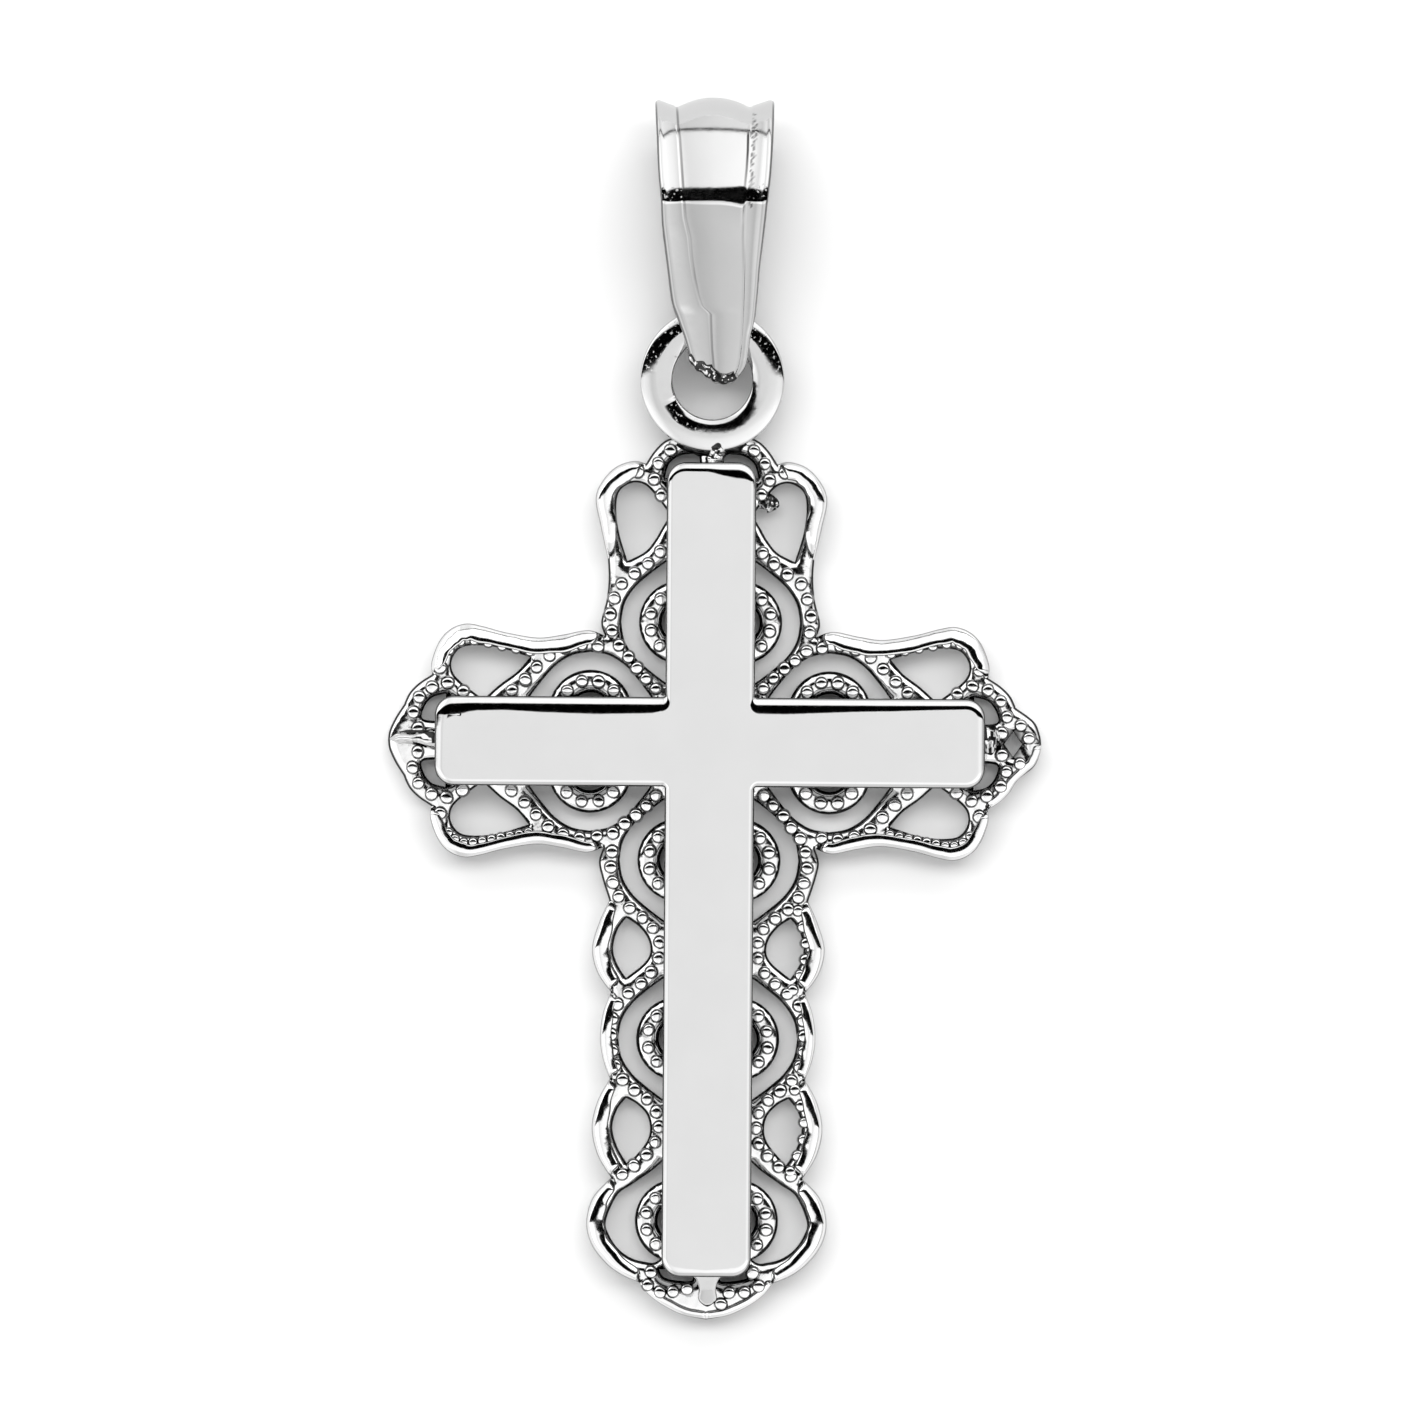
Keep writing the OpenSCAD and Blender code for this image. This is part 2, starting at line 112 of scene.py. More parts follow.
FOOT_TIP_EDGE = [
    (11.25, 1.4, 0.1), (11.52, 1.18, 0.14), (11.75, 0.85, 0.16), (11.93, 0.45, 0.15),
    (FOOT_REACH - 0.01, -0.04, 0.14)
]
SHAFT_TOP_EDGE = [(2.2, 2.2), (2.5, 2.29), (2.85, 2.22), (3.31, 2.07)]
FIRST_EYE_EDGE = [
    (3.31, 2.07, 0.2), (3.75, 2.27, 0.3), (4.3, 2.42, 0.35), (4.8, 2.31, 0.35), (5.22, 2.02, 0.28)
]
SECOND_ROSETTE_EDGE = [
    (5.22, 2.02, 0.16), (5.65, 2.18, 0.22), (6.15, 2.24, 0.24), (6.6, 2.18, 0.25), (7.02, 2.03, 0.22)
]
SECOND_EYE_EDGE = [
    (7.02, 2.03, 0.2), (7.5, 2.29, 0.3), (8.05, 2.4, 0.35), (8.6, 2.28, 0.35), (9.08, 1.99, 0.28)
]
FOOT_LOBE_EDGE = [
    (9.08, 1.99, 0.24), (9.5, 2.37, 0.34), (10, 2.5, 0.37), (10.45, 2.4, 0.37), (10.85, 2.1, 0.36),
    (11.1, 1.76, 0.32), (11.25, 1.4, 0.24)
]
SHAFT_LOBES = [FIRST_EYE_EDGE, SECOND_ROSETTE_EDGE, SECOND_EYE_EDGE, FOOT_LOBE_EDGE]
FOOT_SCALLOP = FOOT_TIP_EDGE[:-1] + [(FOOT_REACH, 0)]

# Gaps that go right through, each as one or two curves
DROP_GAP = [
    [(3.76, 1.74), (4.35, 1.92), (4.85, 1.98), (5.2, 1.92), (5.38, 1.67), (5.35, 1.4), (5.12, 1.16),
     (4.72, 0.86)],
    [(4.72, 0.86), (4.38, 1.17), (4.02, 1.44), (3.76, 1.74)]
]
UP_DROP_GAP = [DROP_GAP[0], [(4.72, 0.86), (4.46, 1.02), (4.2, 1.17), (3.95, 1.38), (3.76, 1.74)]]
FIRST_EYE_GAP = [
    [(3.67, 1.71), (3.92, 1.89), (4.3, 1.98), (4.62, 1.9), (4.92, 1.71)],
    [(4.92, 1.71), (4.62, 1.34), (4.38, 1.21), (4.1, 1.26), (3.85, 1.45), (3.67, 1.71)]
]
SECOND_EYE_GAP = [
    [(7.42, 1.69), (7.68, 1.88), (8.05, 1.97), (8.45, 1.86), (8.8, 1.65)],
    [(8.8, 1.65), (8.4, 1.3), (8.1, 1.19), (7.78, 1.25), (7.55, 1.46), (7.42, 1.69)]
]
END_GAP = [[(5.5, 0.97), (5.78, 0.89), (5.95, 0.68), (5.97, 0.44), (5.5, 0.4)]]
UP_END_GAP = [[(5.5, 0.97), (5.78, 0.89), (5.95, 0.68), (5.99, 0.44), (5.97, 0.27), (5.5, 0.25)]]
FOOT_END_GAP = [[(10.98, 0.98), (11.14, 0.88), (11.21, 0.62), (11.21, 0.3), (11, 0.28)]]
ARM_GAPS = {
    0: [DROP_GAP, END_GAP], 90: [UP_DROP_GAP, UP_END_GAP], 180: [DROP_GAP, END_GAP],
    270: [FIRST_EYE_GAP, SECOND_EYE_GAP, FOOT_END_GAP]
}
ROSETTE_GAP_HALF = [(0, 1.86), (0.38, 1.79), (0.72, 1.58), (1, 1.27), (1.24, 0.95), (1.36, 0.74)]
FOOT_GAP = [[
    (8.55, 0.74), (8.88, 1.08), (9.21, 1.54), (9.45, 1.86), (9.98, 2.09), (10.28, 2.02), (10.56, 1.83),
    (10.75, 1.56), (10.83, 1.27), (10.83, 1.05), (10.6, 0.74)
]]
TIP_GAP = [(6.13, 0), (6.315, 0.26), (6.5, 0), (6.315, -0.26)]
SPINE_HALF = 0.89
SPINE_END = 0.28

# Rosettes
ROSETTE_R = 0.87
ROSETTE_HOLE_R = 0.4
ROSETTE_OUT = 0.62
ROSETTE_GRAIN_R = 0.64
ROSETTE_GRAIN_ARC = (10, 170, 5)
FOOT_ROSETTE = 9.97
SHAFT_ROSETTES = (2.46, 6.18, FOOT_ROSETTE)
ARM_ROSETTES = (2.49,)

# Rows of grains along the lanes between the gaps
CORNER_ROW = [(1.1, 1.12), (1.42, 1.44), (1.7, 1.66), (2, 1.9)]
SIDE_WAVE_ROW = [
    (2.33, 1.98), (2.62, 2.02), (2.95, 1.97), (3.28, 1.83), (3.55, 1.6), (3.82, 1.3), (4.12, 1.04)
]
UP_WAVE_ROW = [
    (2.3, 2.05), (2.62, 2.09), (2.95, 2.02), (3.24, 1.91), (3.45, 1.66), (3.68, 1.35), (3.95, 1.06)
]
DROP_END_ROW = [(5.61, 1.52), (5.44, 1.17), (5.14, 1.03)]
DROP_LANE_ROW = [
    (3.76, 1.86), (4.07, 1.92), (4.38, 1.98), (4.8, 2.06), (5.08, 2.09), (5.28, 2.02), (5.43, 1.88)
]
SIDE_END_ROW = [(5.79, 1.11), (6.07, 0.87), (6.17, 0.56), (6.08, 0.24)]
UP_END_ROW = [(5.79, 1.11), (6.08, 0.87)]
LOW_END_ROW = [(6.18, 0.58), (6.07, 0.23)]
LOW_TIP_GRAINS = [(5.78, 1.08), (6.07, 0.88), (6.46, 0.4)]
TIP_ROW = [(6.48, 0.4), (6.64, 0.12)]
SHAFT_WAVE_ROW = [
    (2.28, 2.01), (2.62, 2.04), (2.96, 1.97), (3.3, 1.82), (3.54, 1.55), (3.73, 1.28), (4, 1.07), (4.3, 1.01),
    (4.6, 1.07), (4.92, 1.28), (5.14, 1.54), (5.35, 1.8), (5.65, 1.95), (6.15, 2.01), (6.65, 1.94),
    (6.98, 1.8), (7.22, 1.55), (7.4, 1.3), (7.66, 1.08), (7.96, 1.01), (8.3, 1.05), (8.6, 1.26), (8.82, 1.5),
    (9.02, 1.76)
]
FOOT_LEFT_ROW = [(11.04, 1.14), (11.3, 1.22), (11.46, 0.96), (11.43, 0.62), (11.4, 0.39)]
FOOT_RIGHT_ROW = [(11.04, 0.96), (11.3, 1.1), (11.46, 0.76), (11.46, 0.42), (11.68, 0.31)]
FIRST_EYE_ROW = [
    (3.5, 1.86), (3.75, 1.94), (4.05, 2.02), (4.35, 2.05), (4.65, 1.99), (4.95, 1.86), (5.15, 1.76)
]
SECOND_EYE_ROW = [(7.22, 1.82), (7.5, 1.93), (7.8, 2.01), (8.1, 2.04), (8.4, 1.98), (8.7, 1.84), (8.92, 1.74)]

# Rows by the turn and the side of the arm
SIDE_ROWS = [SIDE_WAVE_ROW, DROP_END_ROW, SIDE_END_ROW]
UP_ROWS = [UP_WAVE_ROW, DROP_END_ROW, UP_END_ROW]
GRAIN_ROWS = {
    (0, 1): [*SIDE_ROWS, TIP_ROW], (0, -1): [SIDE_WAVE_ROW, DROP_END_ROW, LOW_END_ROW],
    (90, 1): UP_ROWS, (90, -1): UP_ROWS, (180, 1): SIDE_ROWS, (180, -1): SIDE_ROWS,
    (270, 1): [SHAFT_WAVE_ROW, FOOT_RIGHT_ROW], (270, -1): [SHAFT_WAVE_ROW, FOOT_LEFT_ROW]
}

# Rows that a rim half hides: turn, side, row, size and pitch
LOW_LANE_SHIFT = 0.04
LOW_LANE_ROW = [(along, out + LOW_LANE_SHIFT) for along, out in DROP_LANE_ROW]
HALF_HIDDEN_ROWS = [
    (0, 1, DROP_LANE_ROW, 0.74, 0.274), (0, -1, LOW_LANE_ROW, 0.72, 0.2), (180, 1, LOW_LANE_ROW, 0.72, 0.2),
    (180, -1, DROP_LANE_ROW, 0.74, 0.274), (270, 1, FIRST_EYE_ROW, 0.9, GRAIN_PITCH),
    (270, 1, SECOND_EYE_ROW, 0.9, GRAIN_PITCH)
]


def blend(p, q, r, s, t):
    """One value on a smooth curve between q and r."""
    bend = (2 * p - 5 * q + 4 * r - s) * t * t + (3 * q - p - 3 * r + s) * t ** 3
    return 0.5 * (2 * q + (r - p) * t + bend)


def curve(points, steps):
    """A smooth open curve through points, with every column kept."""
    last = len(points) - 1
    out = []
    for i in range(last):
        around = [points[max(i - 1, 0)], points[i], points[i + 1], points[min(i + 2, last)]]
        for k in range(steps):
            out.append(tuple(blend(*column, k / steps) for column in zip(*around)))
    out.append(tuple(points[last]))
    return out


def table(rows, x):
    """A value from a table of (place, value), straight between its rows."""
    if x <= rows[0][0]:
        return rows[0][1]
    for (a, va), (b, vb) in zip(rows, rows[1:]):
        if x <= b:
            return va + (vb - va) * (x - a) / (b - a)
    return rows[-1][1]


def on_arm(turn, side, point):
    """A place on an arm: turned by 0, 90, 180 or 270 degrees, on one side of its middle."""
    x = point[0]
    y = side * point[1]
    for _ in range(turn // 90):
        x, y = -y, x
    return x, y


def turned(turn, side, points):
    """Places on an arm."""
    return [on_arm(turn, side, p) for p in points]


def rosettes(turn):
    """How far along an arm its rosettes are."""
    return SHAFT_ROSETTES if turn == 270 else ARM_ROSETTES


def polar(x, y, r, degrees):
    """A place at a distance and an angle from a middle."""
    return x + r * math.cos(math.radians(degrees)), y + r * math.sin(math.radians(degrees))


def arc(x, y, r, start, end, steps):
    """Places along an arc, from one angle in degrees to another."""
    return [polar(x, y, r, start + (end - start) * k / steps) for k in range(steps + 1)]


def circle(x, y, r, count):
    return arc(x, y, r, 0, 360, count)[:-1]


def direction(path, i):
    """The way a path runs at one of its points, seen from above."""
    ahead = Vector(path[min(i + 1, len(path) - 1)][:2]) - Vector(path[max(i - 1, 0)][:2])
    return ahead.normalized()


def spaced(points, pitch):
    """Evenly spaced places along a curve."""
    path = curve(points, CURVE_STEPS)
    reach = [0]
    for a, b in zip(path, path[1:]):
        reach.append(reach[-1] + math.dist(a, b))
    count = max(1, round(reach[-1] / pitch))
    columns = [list(zip(reach, column)) for column in zip(*path)]
    return [tuple(table(rows, reach[-1] * k / count) for rows in columns) for k in range(count + 1)]


def place(point):
    """Turns millimetres from the crossing into metres in the shared frame."""
    return ((point[0] - ORIGIN_X) * MM, (point[1] - ORIGIN_Y) * MM, point[2] * MM)


def linked(name, data):
    """A new object in the scene."""
    made = bpy.data.objects.new(name, data)
    bpy.context.scene.collection.objects.link(made)
    return made


def piece(name, shape, materials, indices=None, sharp=None, stands_for=CROSS):
    """Makes a piece of the charm that stands for a CAD node."""
    slot, node = stands_for
    mesh = bpy.data.meshes.new(name)
    mesh.from_pydata([place(p) for p in shape.points], [], shape.faces)
    for material in materials:
        mesh.materials.append(material)
    if indices:
        mesh.polygons.foreach_set("material_index", indices)
    mesh.polygons.foreach_set("use_smooth", [True] * len(mesh.polygons))
    # Painted shade of each point, from 0, dark, to 1, none, kept as a mesh attribute
    painted_shade = shape.painted_shade + [1] * (len(shape.points) - len(shape.painted_shade))
    mesh.attributes.new("painted_shade", "FLOAT", "POINT").data.foreach_set("value", painted_shade)
    mesh.validate()
    mesh.update()
    if sharp:
        mesh.set_sharp_from_angle(angle=math.radians(sharp))
    made = linked(name, mesh)
    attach(made, "root")
    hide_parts(node)


class Shape:
    """Collects the points and faces of one piece, and the painted shade of each point, from 0, dark, to 1,
    none, which it is if nothing is said.
    """

    def __init__(self):
        self.points = []
        self.painted_shade = []
        self.faces = []

    def rings(self, rings, closed_along=False, caps=False):
        """Joins closed rings of the same number of points with faces."""
        start = len(self.points)
        width = len(rings[0])
        count = len(rings)
        for ring in rings:
            self.points.extend(ring)
        for i in range(count if closed_along else count - 1):
            here = start + i * width
            onward = start + (i + 1) % count * width
            for k in range(width):
                after = (k + 1) % width
                self.faces.append((here + k, here + after, onward + after, onward + k))
        if caps:
            self.faces.append(tuple(start + k for k in reversed(range(width))))
            self.faces.append(tuple(start + (count - 1) * width + k for k in range(width)))


# Materials
TONE_SCALE = 900
TONE_SPAN = (0.35, 0.65)
TONE_DETAIL = 3
SCRATCH_SCALE = 6000
SCRATCH_SPAN = (0.3, 0.75)
SCRATCH_DETAIL = 4
SCRATCH_ROUGH = 1.8
WAVE_DETAIL = 1
GRIT_DETAIL = 3
PIT_STOPS = [(0.62, 0), (0.74, 1)]
# Near-black painted shade: scale, detail and greys of its tone, roughness and bump
PAINTED_SHADE_SCALE = 5000
PAINTED_SHADE_DETAIL = 3
PAINTED_SHADE_STOPS = [(0.3, 0.01), (0.7, 0.08)]
PAINTED_SHADE_ROUGH = 0.35
PAINTED_SHADE_BUMP = 0.02


def new_material(name):
    """A material with its node tree, its shader and the coordinates of the piece."""
    material = bpy.data.materials.new(name)
    material.use_nodes = True
    tree = material.node_tree
    coords = tree.nodes.new("ShaderNodeTexCoord").outputs["Object"]
    return material, tree, tree.nodes["Principled BSDF"], coords


def set_inputs(tree, node, inputs):
    """Gives each input of a node a value, or joins it to the output of another node."""
    for name, value in inputs.items():
        if isinstance(value, bpy.types.NodeSocket):
            tree.links.new(value, node.inputs[name])
        else:
            node.inputs[name].default_value = value


def add_noise(tree, coords, scale, detail):
    node = tree.nodes.new("ShaderNodeTexNoise")
    set_inputs(tree, node, {"Scale": scale, "Detail": detail, "Vector": coords})
    return node.outputs["Fac"]


def add_ramp(tree, source, stops):
    """Greys by stops of (place, grey)."""
    node = tree.nodes.new("ShaderNodeValToRGB")
    ramp = node.color_ramp
    while len(ramp.elements) < len(stops):
        ramp.elements.new(0.5)
    for element, (position, grey) in zip(ramp.elements, stops):
        element.position = position
        element.color = (grey, grey, grey, 1)
    tree.links.new(source, node.inputs["Fac"])
    return node.outputs["Color"]


def add_bump(tree, height, distance, before=None):
    node = tree.nodes.new("ShaderNodeBump")
    set_inputs(tree, node, {"Strength": 1, "Distance": distance * MM, "Height": height})
    if before:
        tree.links.new(before, node.inputs["Normal"])
    return node.outputs["Normal"]


def add_product(tree, a, b):
    node = tree.nodes.new("ShaderNodeMix")
    node.data_type = "RGBA"
    node.blend_type = "MULTIPLY"
    set_inputs(tree, node, {"Factor": 1, "A": a, "B": b})
    return node.outputs["Result"]


def add_math(tree, operation, *values):
    node = tree.nodes.new("ShaderNodeMath")
    node.operation = operation
    set_inputs(tree, node, dict(enumerate(values)))
    return node.outputs["Value"]


def silver(name, light, dark, rough, wave, wave_height, grit, grit_height, shade_grey=None, pits=False):
    """Polished or textured silver. The second-last argument is the grey that the painted shade reaches where
    the painted shade attribute is 0.
    """
    material, tree, shader, coords = new_material(name)
    tone = add_noise(tree, coords, TONE_SCALE, TONE_DETAIL)
    colour = add_ramp(tree, tone, list(zip(TONE_SPAN, (dark, light))))
    # Darkens the colour where the painted shade attribute is below 1
    if shade_grey:
        shade_attribute = tree.nodes.new("ShaderNodeAttribute")
        shade_attribute.attribute_name = "painted_shade"
        colour = add_product(tree, colour, add_ramp(tree, shade_attribute.outputs["Fac"], [(0, shade_grey), (1, 1)]))
    scratches = add_noise(tree, coords, SCRATCH_SCALE, SCRATCH_DETAIL)
    waves = add_bump(tree, add_noise(tree, coords, wave, WAVE_DETAIL), wave_height)
    fine = add_noise(tree, coords, grit, GRIT_DETAIL)
    if pits:
        fine = add_ramp(tree, fine, PIT_STOPS)
    set_inputs(tree, shader, {
        "Base Color": colour, "Metallic": 1, "Normal": add_bump(tree, fine, grit_height, waves),
        "Roughness": add_ramp(tree, scratches, list(zip(SCRATCH_SPAN, (rough, rough * SCRATCH_ROUGH))))
    })
    return material


def painted_shade_silver():
    """Near-black painted shade, for gaps, crevices and the dark parts of solder lumps."""
    material, tree, shader, coords = new_material("painted_shade_silver")
    tone = add_noise(tree, coords, PAINTED_SHADE_SCALE, PAINTED_SHADE_DETAIL)
    set_inputs(tree, shader, {
        "Base Color": add_ramp(tree, tone, PAINTED_SHADE_STOPS), "Metallic": 1, "Roughness": PAINTED_SHADE_ROUGH,
        "Normal": add_bump(tree, tone, PAINTED_SHADE_BUMP)
    })
    return material


# Light and dark grey, roughness, scale and height of the waves and of the grit, grey of the painted shade,
# and pits
BAR_SILVER = silver("bar_silver", 0.79, 0.775, 0.045, 350, 0.004, 12000, 0.0003, 0.08)
RING_SILVER = silver("ring_silver", 0.71, 0.69, 0.06, 900, 0.004, 12000, 0.0006)
BAIL_SILVER = silver("bail_silver", 0.71, 0.69, 0.07, 900, 0.003, 9000, 0.0008, 0.05)
PITTED_SILVER = silver("pitted_silver", 0.75, 0.65, 0.05, 4000, 0.002, 14000, 0.004, 0.05, True)
RIM_SILVER = silver("rim_silver", 0.97, 0.93, 0.06, 3000, 0.006, 12000, 0.0006, 0.04)
GRAIN_SILVER = silver("grain_silver", 0.97, 0.94, 0.07, 5000, 0.004, 14000, 0.0005, 0.02)
LACE_SILVER = silver("lace_silver", 0.97, 0.92, 0.08, 4500, 0.01, 16000, 0.001, 0.02)
WALL_SILVER = silver("wall_silver", 0.98, 0.93, 0.2, 5000, 0.004, 16000, 0.002)
SOLDER_SILVER = silver("solder_silver", 0.95, 0.8, 0.09, 4500, 0.03, 14000, 0.003)
# Near-black painted shade for gaps, crevices and solder lumps
PAINTED_SHADE_SILVER = painted_shade_silver()


# Studio
STUDIO_POWER = 2.4

# Brightness of the studio by the angle from straight up towards the top of the picture
STUDIO_STOPS = [
    (-180, 0.68), (-90, 0.65), (-43, 0.65), (-36, 0.95), (-26, 1.06), (-13, 1), (-6, 0.83), (0, 0.82),
    (2.8, 0.86), (3.8, 0), (21.5, 0), (23.5, 1.06), (63.1, 1.06), (63.6, 0), (66.4, 0), (66.9, 0.83),
    (90, 0.82), (180, 0.68)
]

# Share of that brightness by the sideways part of the direction
SIDE_STOPS = [
    (-1, 1.1), (-0.5, 1.25), (-0.36, 1.1), (-0.24, 0.84), (-0.1, 0.93), (0, 1), (0.15, 1.05), (0.3, 1.1),
    (0.45, 1.2), (0.7, 1.1), (0.85, 0.65), (1, 0.6)
]


def make_world():
    world = bpy.data.worlds.new("studio")
    world.use_nodes = True
    tree = world.node_tree
    split = tree.nodes.new("ShaderNodeSeparateXYZ")
    tree.links.new(tree.nodes.new("ShaderNodeTexCoord").outputs["Generated"], split.inputs["Vector"])
    angle = add_math(tree, "ARCTAN2", split.outputs["Y"], split.outputs["Z"])
    share = add_math(tree, "MULTIPLY_ADD", angle, 0.5 / math.pi, 0.5)
    bright = add_ramp(tree, share, [(degrees / 360 + 0.5, grey) for degrees, grey in STUDIO_STOPS])
    side = add_math(tree, "MULTIPLY_ADD", split.outputs["X"], 0.5, 0.5)
    dim = add_ramp(tree, side, [(across / 2 + 0.5, grey / 2) for across, grey in SIDE_STOPS])
    colour = add_product(tree, bright, dim)
    set_inputs(tree, tree.nodes["Background"], {"Color": colour, "Strength": STUDIO_POWER})
    bpy.context.scene.world = world
    bpy.context.scene.view_settings.view_transform = "Standard"


def make_camera():
    data = bpy.data.cameras.new("photo_camera")
    data.sensor_width = SENSOR
    data.lens = SENSOR * CAMERA_HEIGHT / (PHOTO_PX / PX_PER_MM)
    camera = linked("photo_camera", data)
    dx, dy = (PHOTO_PX / 2 - at for at in CROSSING_PX)
    across = (dx * math.cos(PHOTO_TURN) + dy * math.sin(PHOTO_TURN)) / PX_PER_MM
    up = (dx * math.sin(PHOTO_TURN) - dy * math.cos(PHOTO_TURN)) / PX_PER_MM
    camera.location = place((across, up, CAMERA_HEIGHT))
    camera.rotation_euler = (0, 0, PHOTO_TURN)
    bpy.context.scene.camera = camera


# Soft lights that the metal doesn't mirror: name, place, width, depth and power
SOFT_LIGHTS = [
    ("soft_top", (0, 0.2, 0.6), 1.2, 0.25, 5.8),
    ("soft_low", (0, 0.54, 0.34), 1.2, 0.25, 3.6)
]


def make_lights():
    for name, where, width, depth, power in SOFT_LIGHTS:
        data = bpy.data.lights.new(name, "AREA")
        data.shape = "RECTANGLE"
        data.size = width
        data.size_y = depth
        data.energy = power
        light = linked(name, data)
        light.location = where
        light.rotation_euler = (-Vector(where)).to_track_quat("-Z", "Y").to_euler()
        light.visible_glossy = False


# Floor
FLOOR_HALF = 1.5
FLOOR_LIFT = 0.00001
FLOOR_SCALE = 60
FLOOR_DETAIL = 2
FLOOR_TONE = 0.01
FLOOR_SPAN = (0.3, 0.7)
FLOOR_ROUGH = 0.9
FLOOR_GREY = 0.545
MIRRORED_GREY = 0.435


def make_floor(name, z, grey):
    mesh = bpy.data.meshes.new(name)
    corners = [(x * FLOOR_HALF, y * FLOOR_HALF, z) for x, y in ((-1, -1), (1, -1), (1, 1), (-1, 1))]
    mesh.from_pydata(corners, [], [(0, 1, 2, 3)])
    floor = linked(name, mesh)
    material, tree, shader, coords = new_material(name)
    tone = add_noise(tree, coords, FLOOR_SCALE, FLOOR_DETAIL)
    colour = add_ramp(tree, tone, list(zip(FLOOR_SPAN, (grey - FLOOR_TONE, grey + FLOOR_TONE))))
    set_inputs(tree, shader, {"Base Color": colour, "Roughness": FLOOR_ROUGH, "Specular IOR Level": 0})
    mesh.materials.append(material)
    return floor


def make_floors():
    """The pale floor, and a greyer sheet on it that only the metal mirrors."""
    floor = make_floor("pale_floor", FLOOR_LIFT, FLOOR_GREY)
    floor.visible_glossy = False
    mirrored = make_floor("mirrored_floor", 2 * FLOOR_LIFT, MIRRORED_GREY)
    mirrored.visible_camera = False
    mirrored.visible_diffuse = False
    mirrored.visible_shadow = False


# Lace plate
DISC_SIDES = 64
HOLE_SIDES = 36
SAME_POINT = 1e-4
ON_AXIS = 1e-6
TRIANGLE_SLACK = 1e-5
FOLDED_BACK = 0.2
LEAST_STEP = 0.012
LEAST_AREA = 0.003
EDGE_SAMPLE = 0.008
EDGE_ROOM = 0.93
PLATE_SHARP = 50

# Softened edge of the plate: height, and painted shade that darkens the edge, by the distance from the edge
EDGE_STEPS = [
    (0, 0.42), (0.033, 0.464), (0.053, 0.48), (0.08, 0.497), (0.12, 0.511), (0.18, 0.52), (0.26, 0.526)
]
EDGE_PAINTED_SHADE = [(0, 0), (0.033, 0), (0.053, 1)]


def thinned(loop, least):
    """A closed loop without the points that are closer than this to the one before."""
    out = [loop[0]]
    for p in loop[1:]:
        if math.dist(out[-1], p) >= least:
            out.append(p)
    if math.dist(out[0], out[-1]) < least:
        out.pop()
    return out


def joined(curves):
    """One closed outline from curves that meet."""
    return thinned([p for points in curves for p in curve([q[:2] for q in points], CURVE_STEPS)], SAME_POINT)


def tip_edge(tip):
    """The edge from the shoulder to a tip, which is rounded by rows of (back from the tip, out)."""
    return [TIP_SHOULDER] + [(tip - back, out) for back, out in TIP_ROUND]


def arm_outline(edges):
    """The outline of an arm, from the edges of one side of it."""
    half = joined(edges)
    return [(0, 0)] + half + [(x, -y) for x, y in reversed(half) if y > ON_AXIS]


def whole_rosette_gap(along):
    half = curve(ROSETTE_GAP_HALF, CURVE_STEPS)
    return [(along + x, y) for x, y in half] + [(along - x, y) for x, y in reversed(half[1:])]


def plate_regions():
    """Closed outlines with what each one is: metal, gap, disc, hole or spine."""
    arms = [
        (0, [SIDE_ARM_EDGE, END_SCALLOP, tip_edge(TIP_RIGHT)]),
        (180, [SIDE_ARM_EDGE, END_SCALLOP, tip_edge(TIP_LEFT)]),
        (90, [UP_ARM_LOW_EDGE, UP_ARM_HIGH_EDGE, END_SCALLOP, [(UP_TIP, UP_TIP_HALF), (UP_TIP, 0)]]),
        (270, [SHAFT_TOP_EDGE, *SHAFT_LOBES, FOOT_SCALLOP])
    ]
    regions = [("metal", None, turned(turn, 1, arm_outline(edges))) for turn, edges in arms]
    for turn in TURNS:
        for side in SIDES:
            for gap in ARM_GAPS[turn]:
                regions.append(("gap", None, turned(turn, side, joined(gap))))
            for along in rosettes(turn):
                key = (turn, side, along)
                outline = joined(FOOT_GAP) if along == FOOT_ROSETTE else whole_rosette_gap(along)
                disc = circle(along, ROSETTE_OUT, ROSETTE_R, DISC_SIDES)
                hole = circle(along, ROSETTE_OUT, ROSETTE_HOLE_R, HOLE_SIDES)
                for kind, points in (("gap", outline), ("disc", disc), ("hole", hole)):
                    regions.append((kind, key, turned(turn, side, points)))
    regions.append(("gap", None, TIP_GAP))
    side, up, down = (reach - SPINE_END for reach in (BAR_SIDE, BAR_UP, BAR_DOWN))
    for x0, x1, y0, y1 in ((-side, side, -SPINE_HALF, SPINE_HALF), (-SPINE_HALF, SPINE_HALF, -down, up)):
        regions.append(("spine", None, [(x0, y0), (x1, y0), (x1, y1), (x0, y1)]))
    return regions


def is_metal(found, regions):
    """Whether a place in these regions is metal. A disc is metal inside the gap of its own rosette."""
    kinds = {regions[i][:2] for i in found}
    names = {kind for kind, _ in kinds}
    if "metal" not in names or ("hole" in names and "spine" not in names):
        return False
    return "spine" in names or not any(kind == "gap" and ("disc", key) not in kinds for kind, key in kinds)


def signed_area(loop):
    return sum(a[0] * b[1] - b[0] * a[1] for a, b in zip(loop, loop[1:] + loop[:1])) / 2


def triangulate(loops, extra=()):
    """Points, and triangles with the loops that each of them lies in."""
    points = []
    faces = []
    for loop in loops:
        around = list(range(len(points), len(points) + len(loop)))
        faces.append(around if signed_area(loop) > 0 else around[::-1])
        points.extend(Vector(p) for p in loop)
    points.extend(Vector(p) for p in extra)
    result = geometry.delaunay_2d_cdt(points, [], faces, 0, TRIANGLE_SLACK)
    return result[0], list(zip(result[2], result[5]))


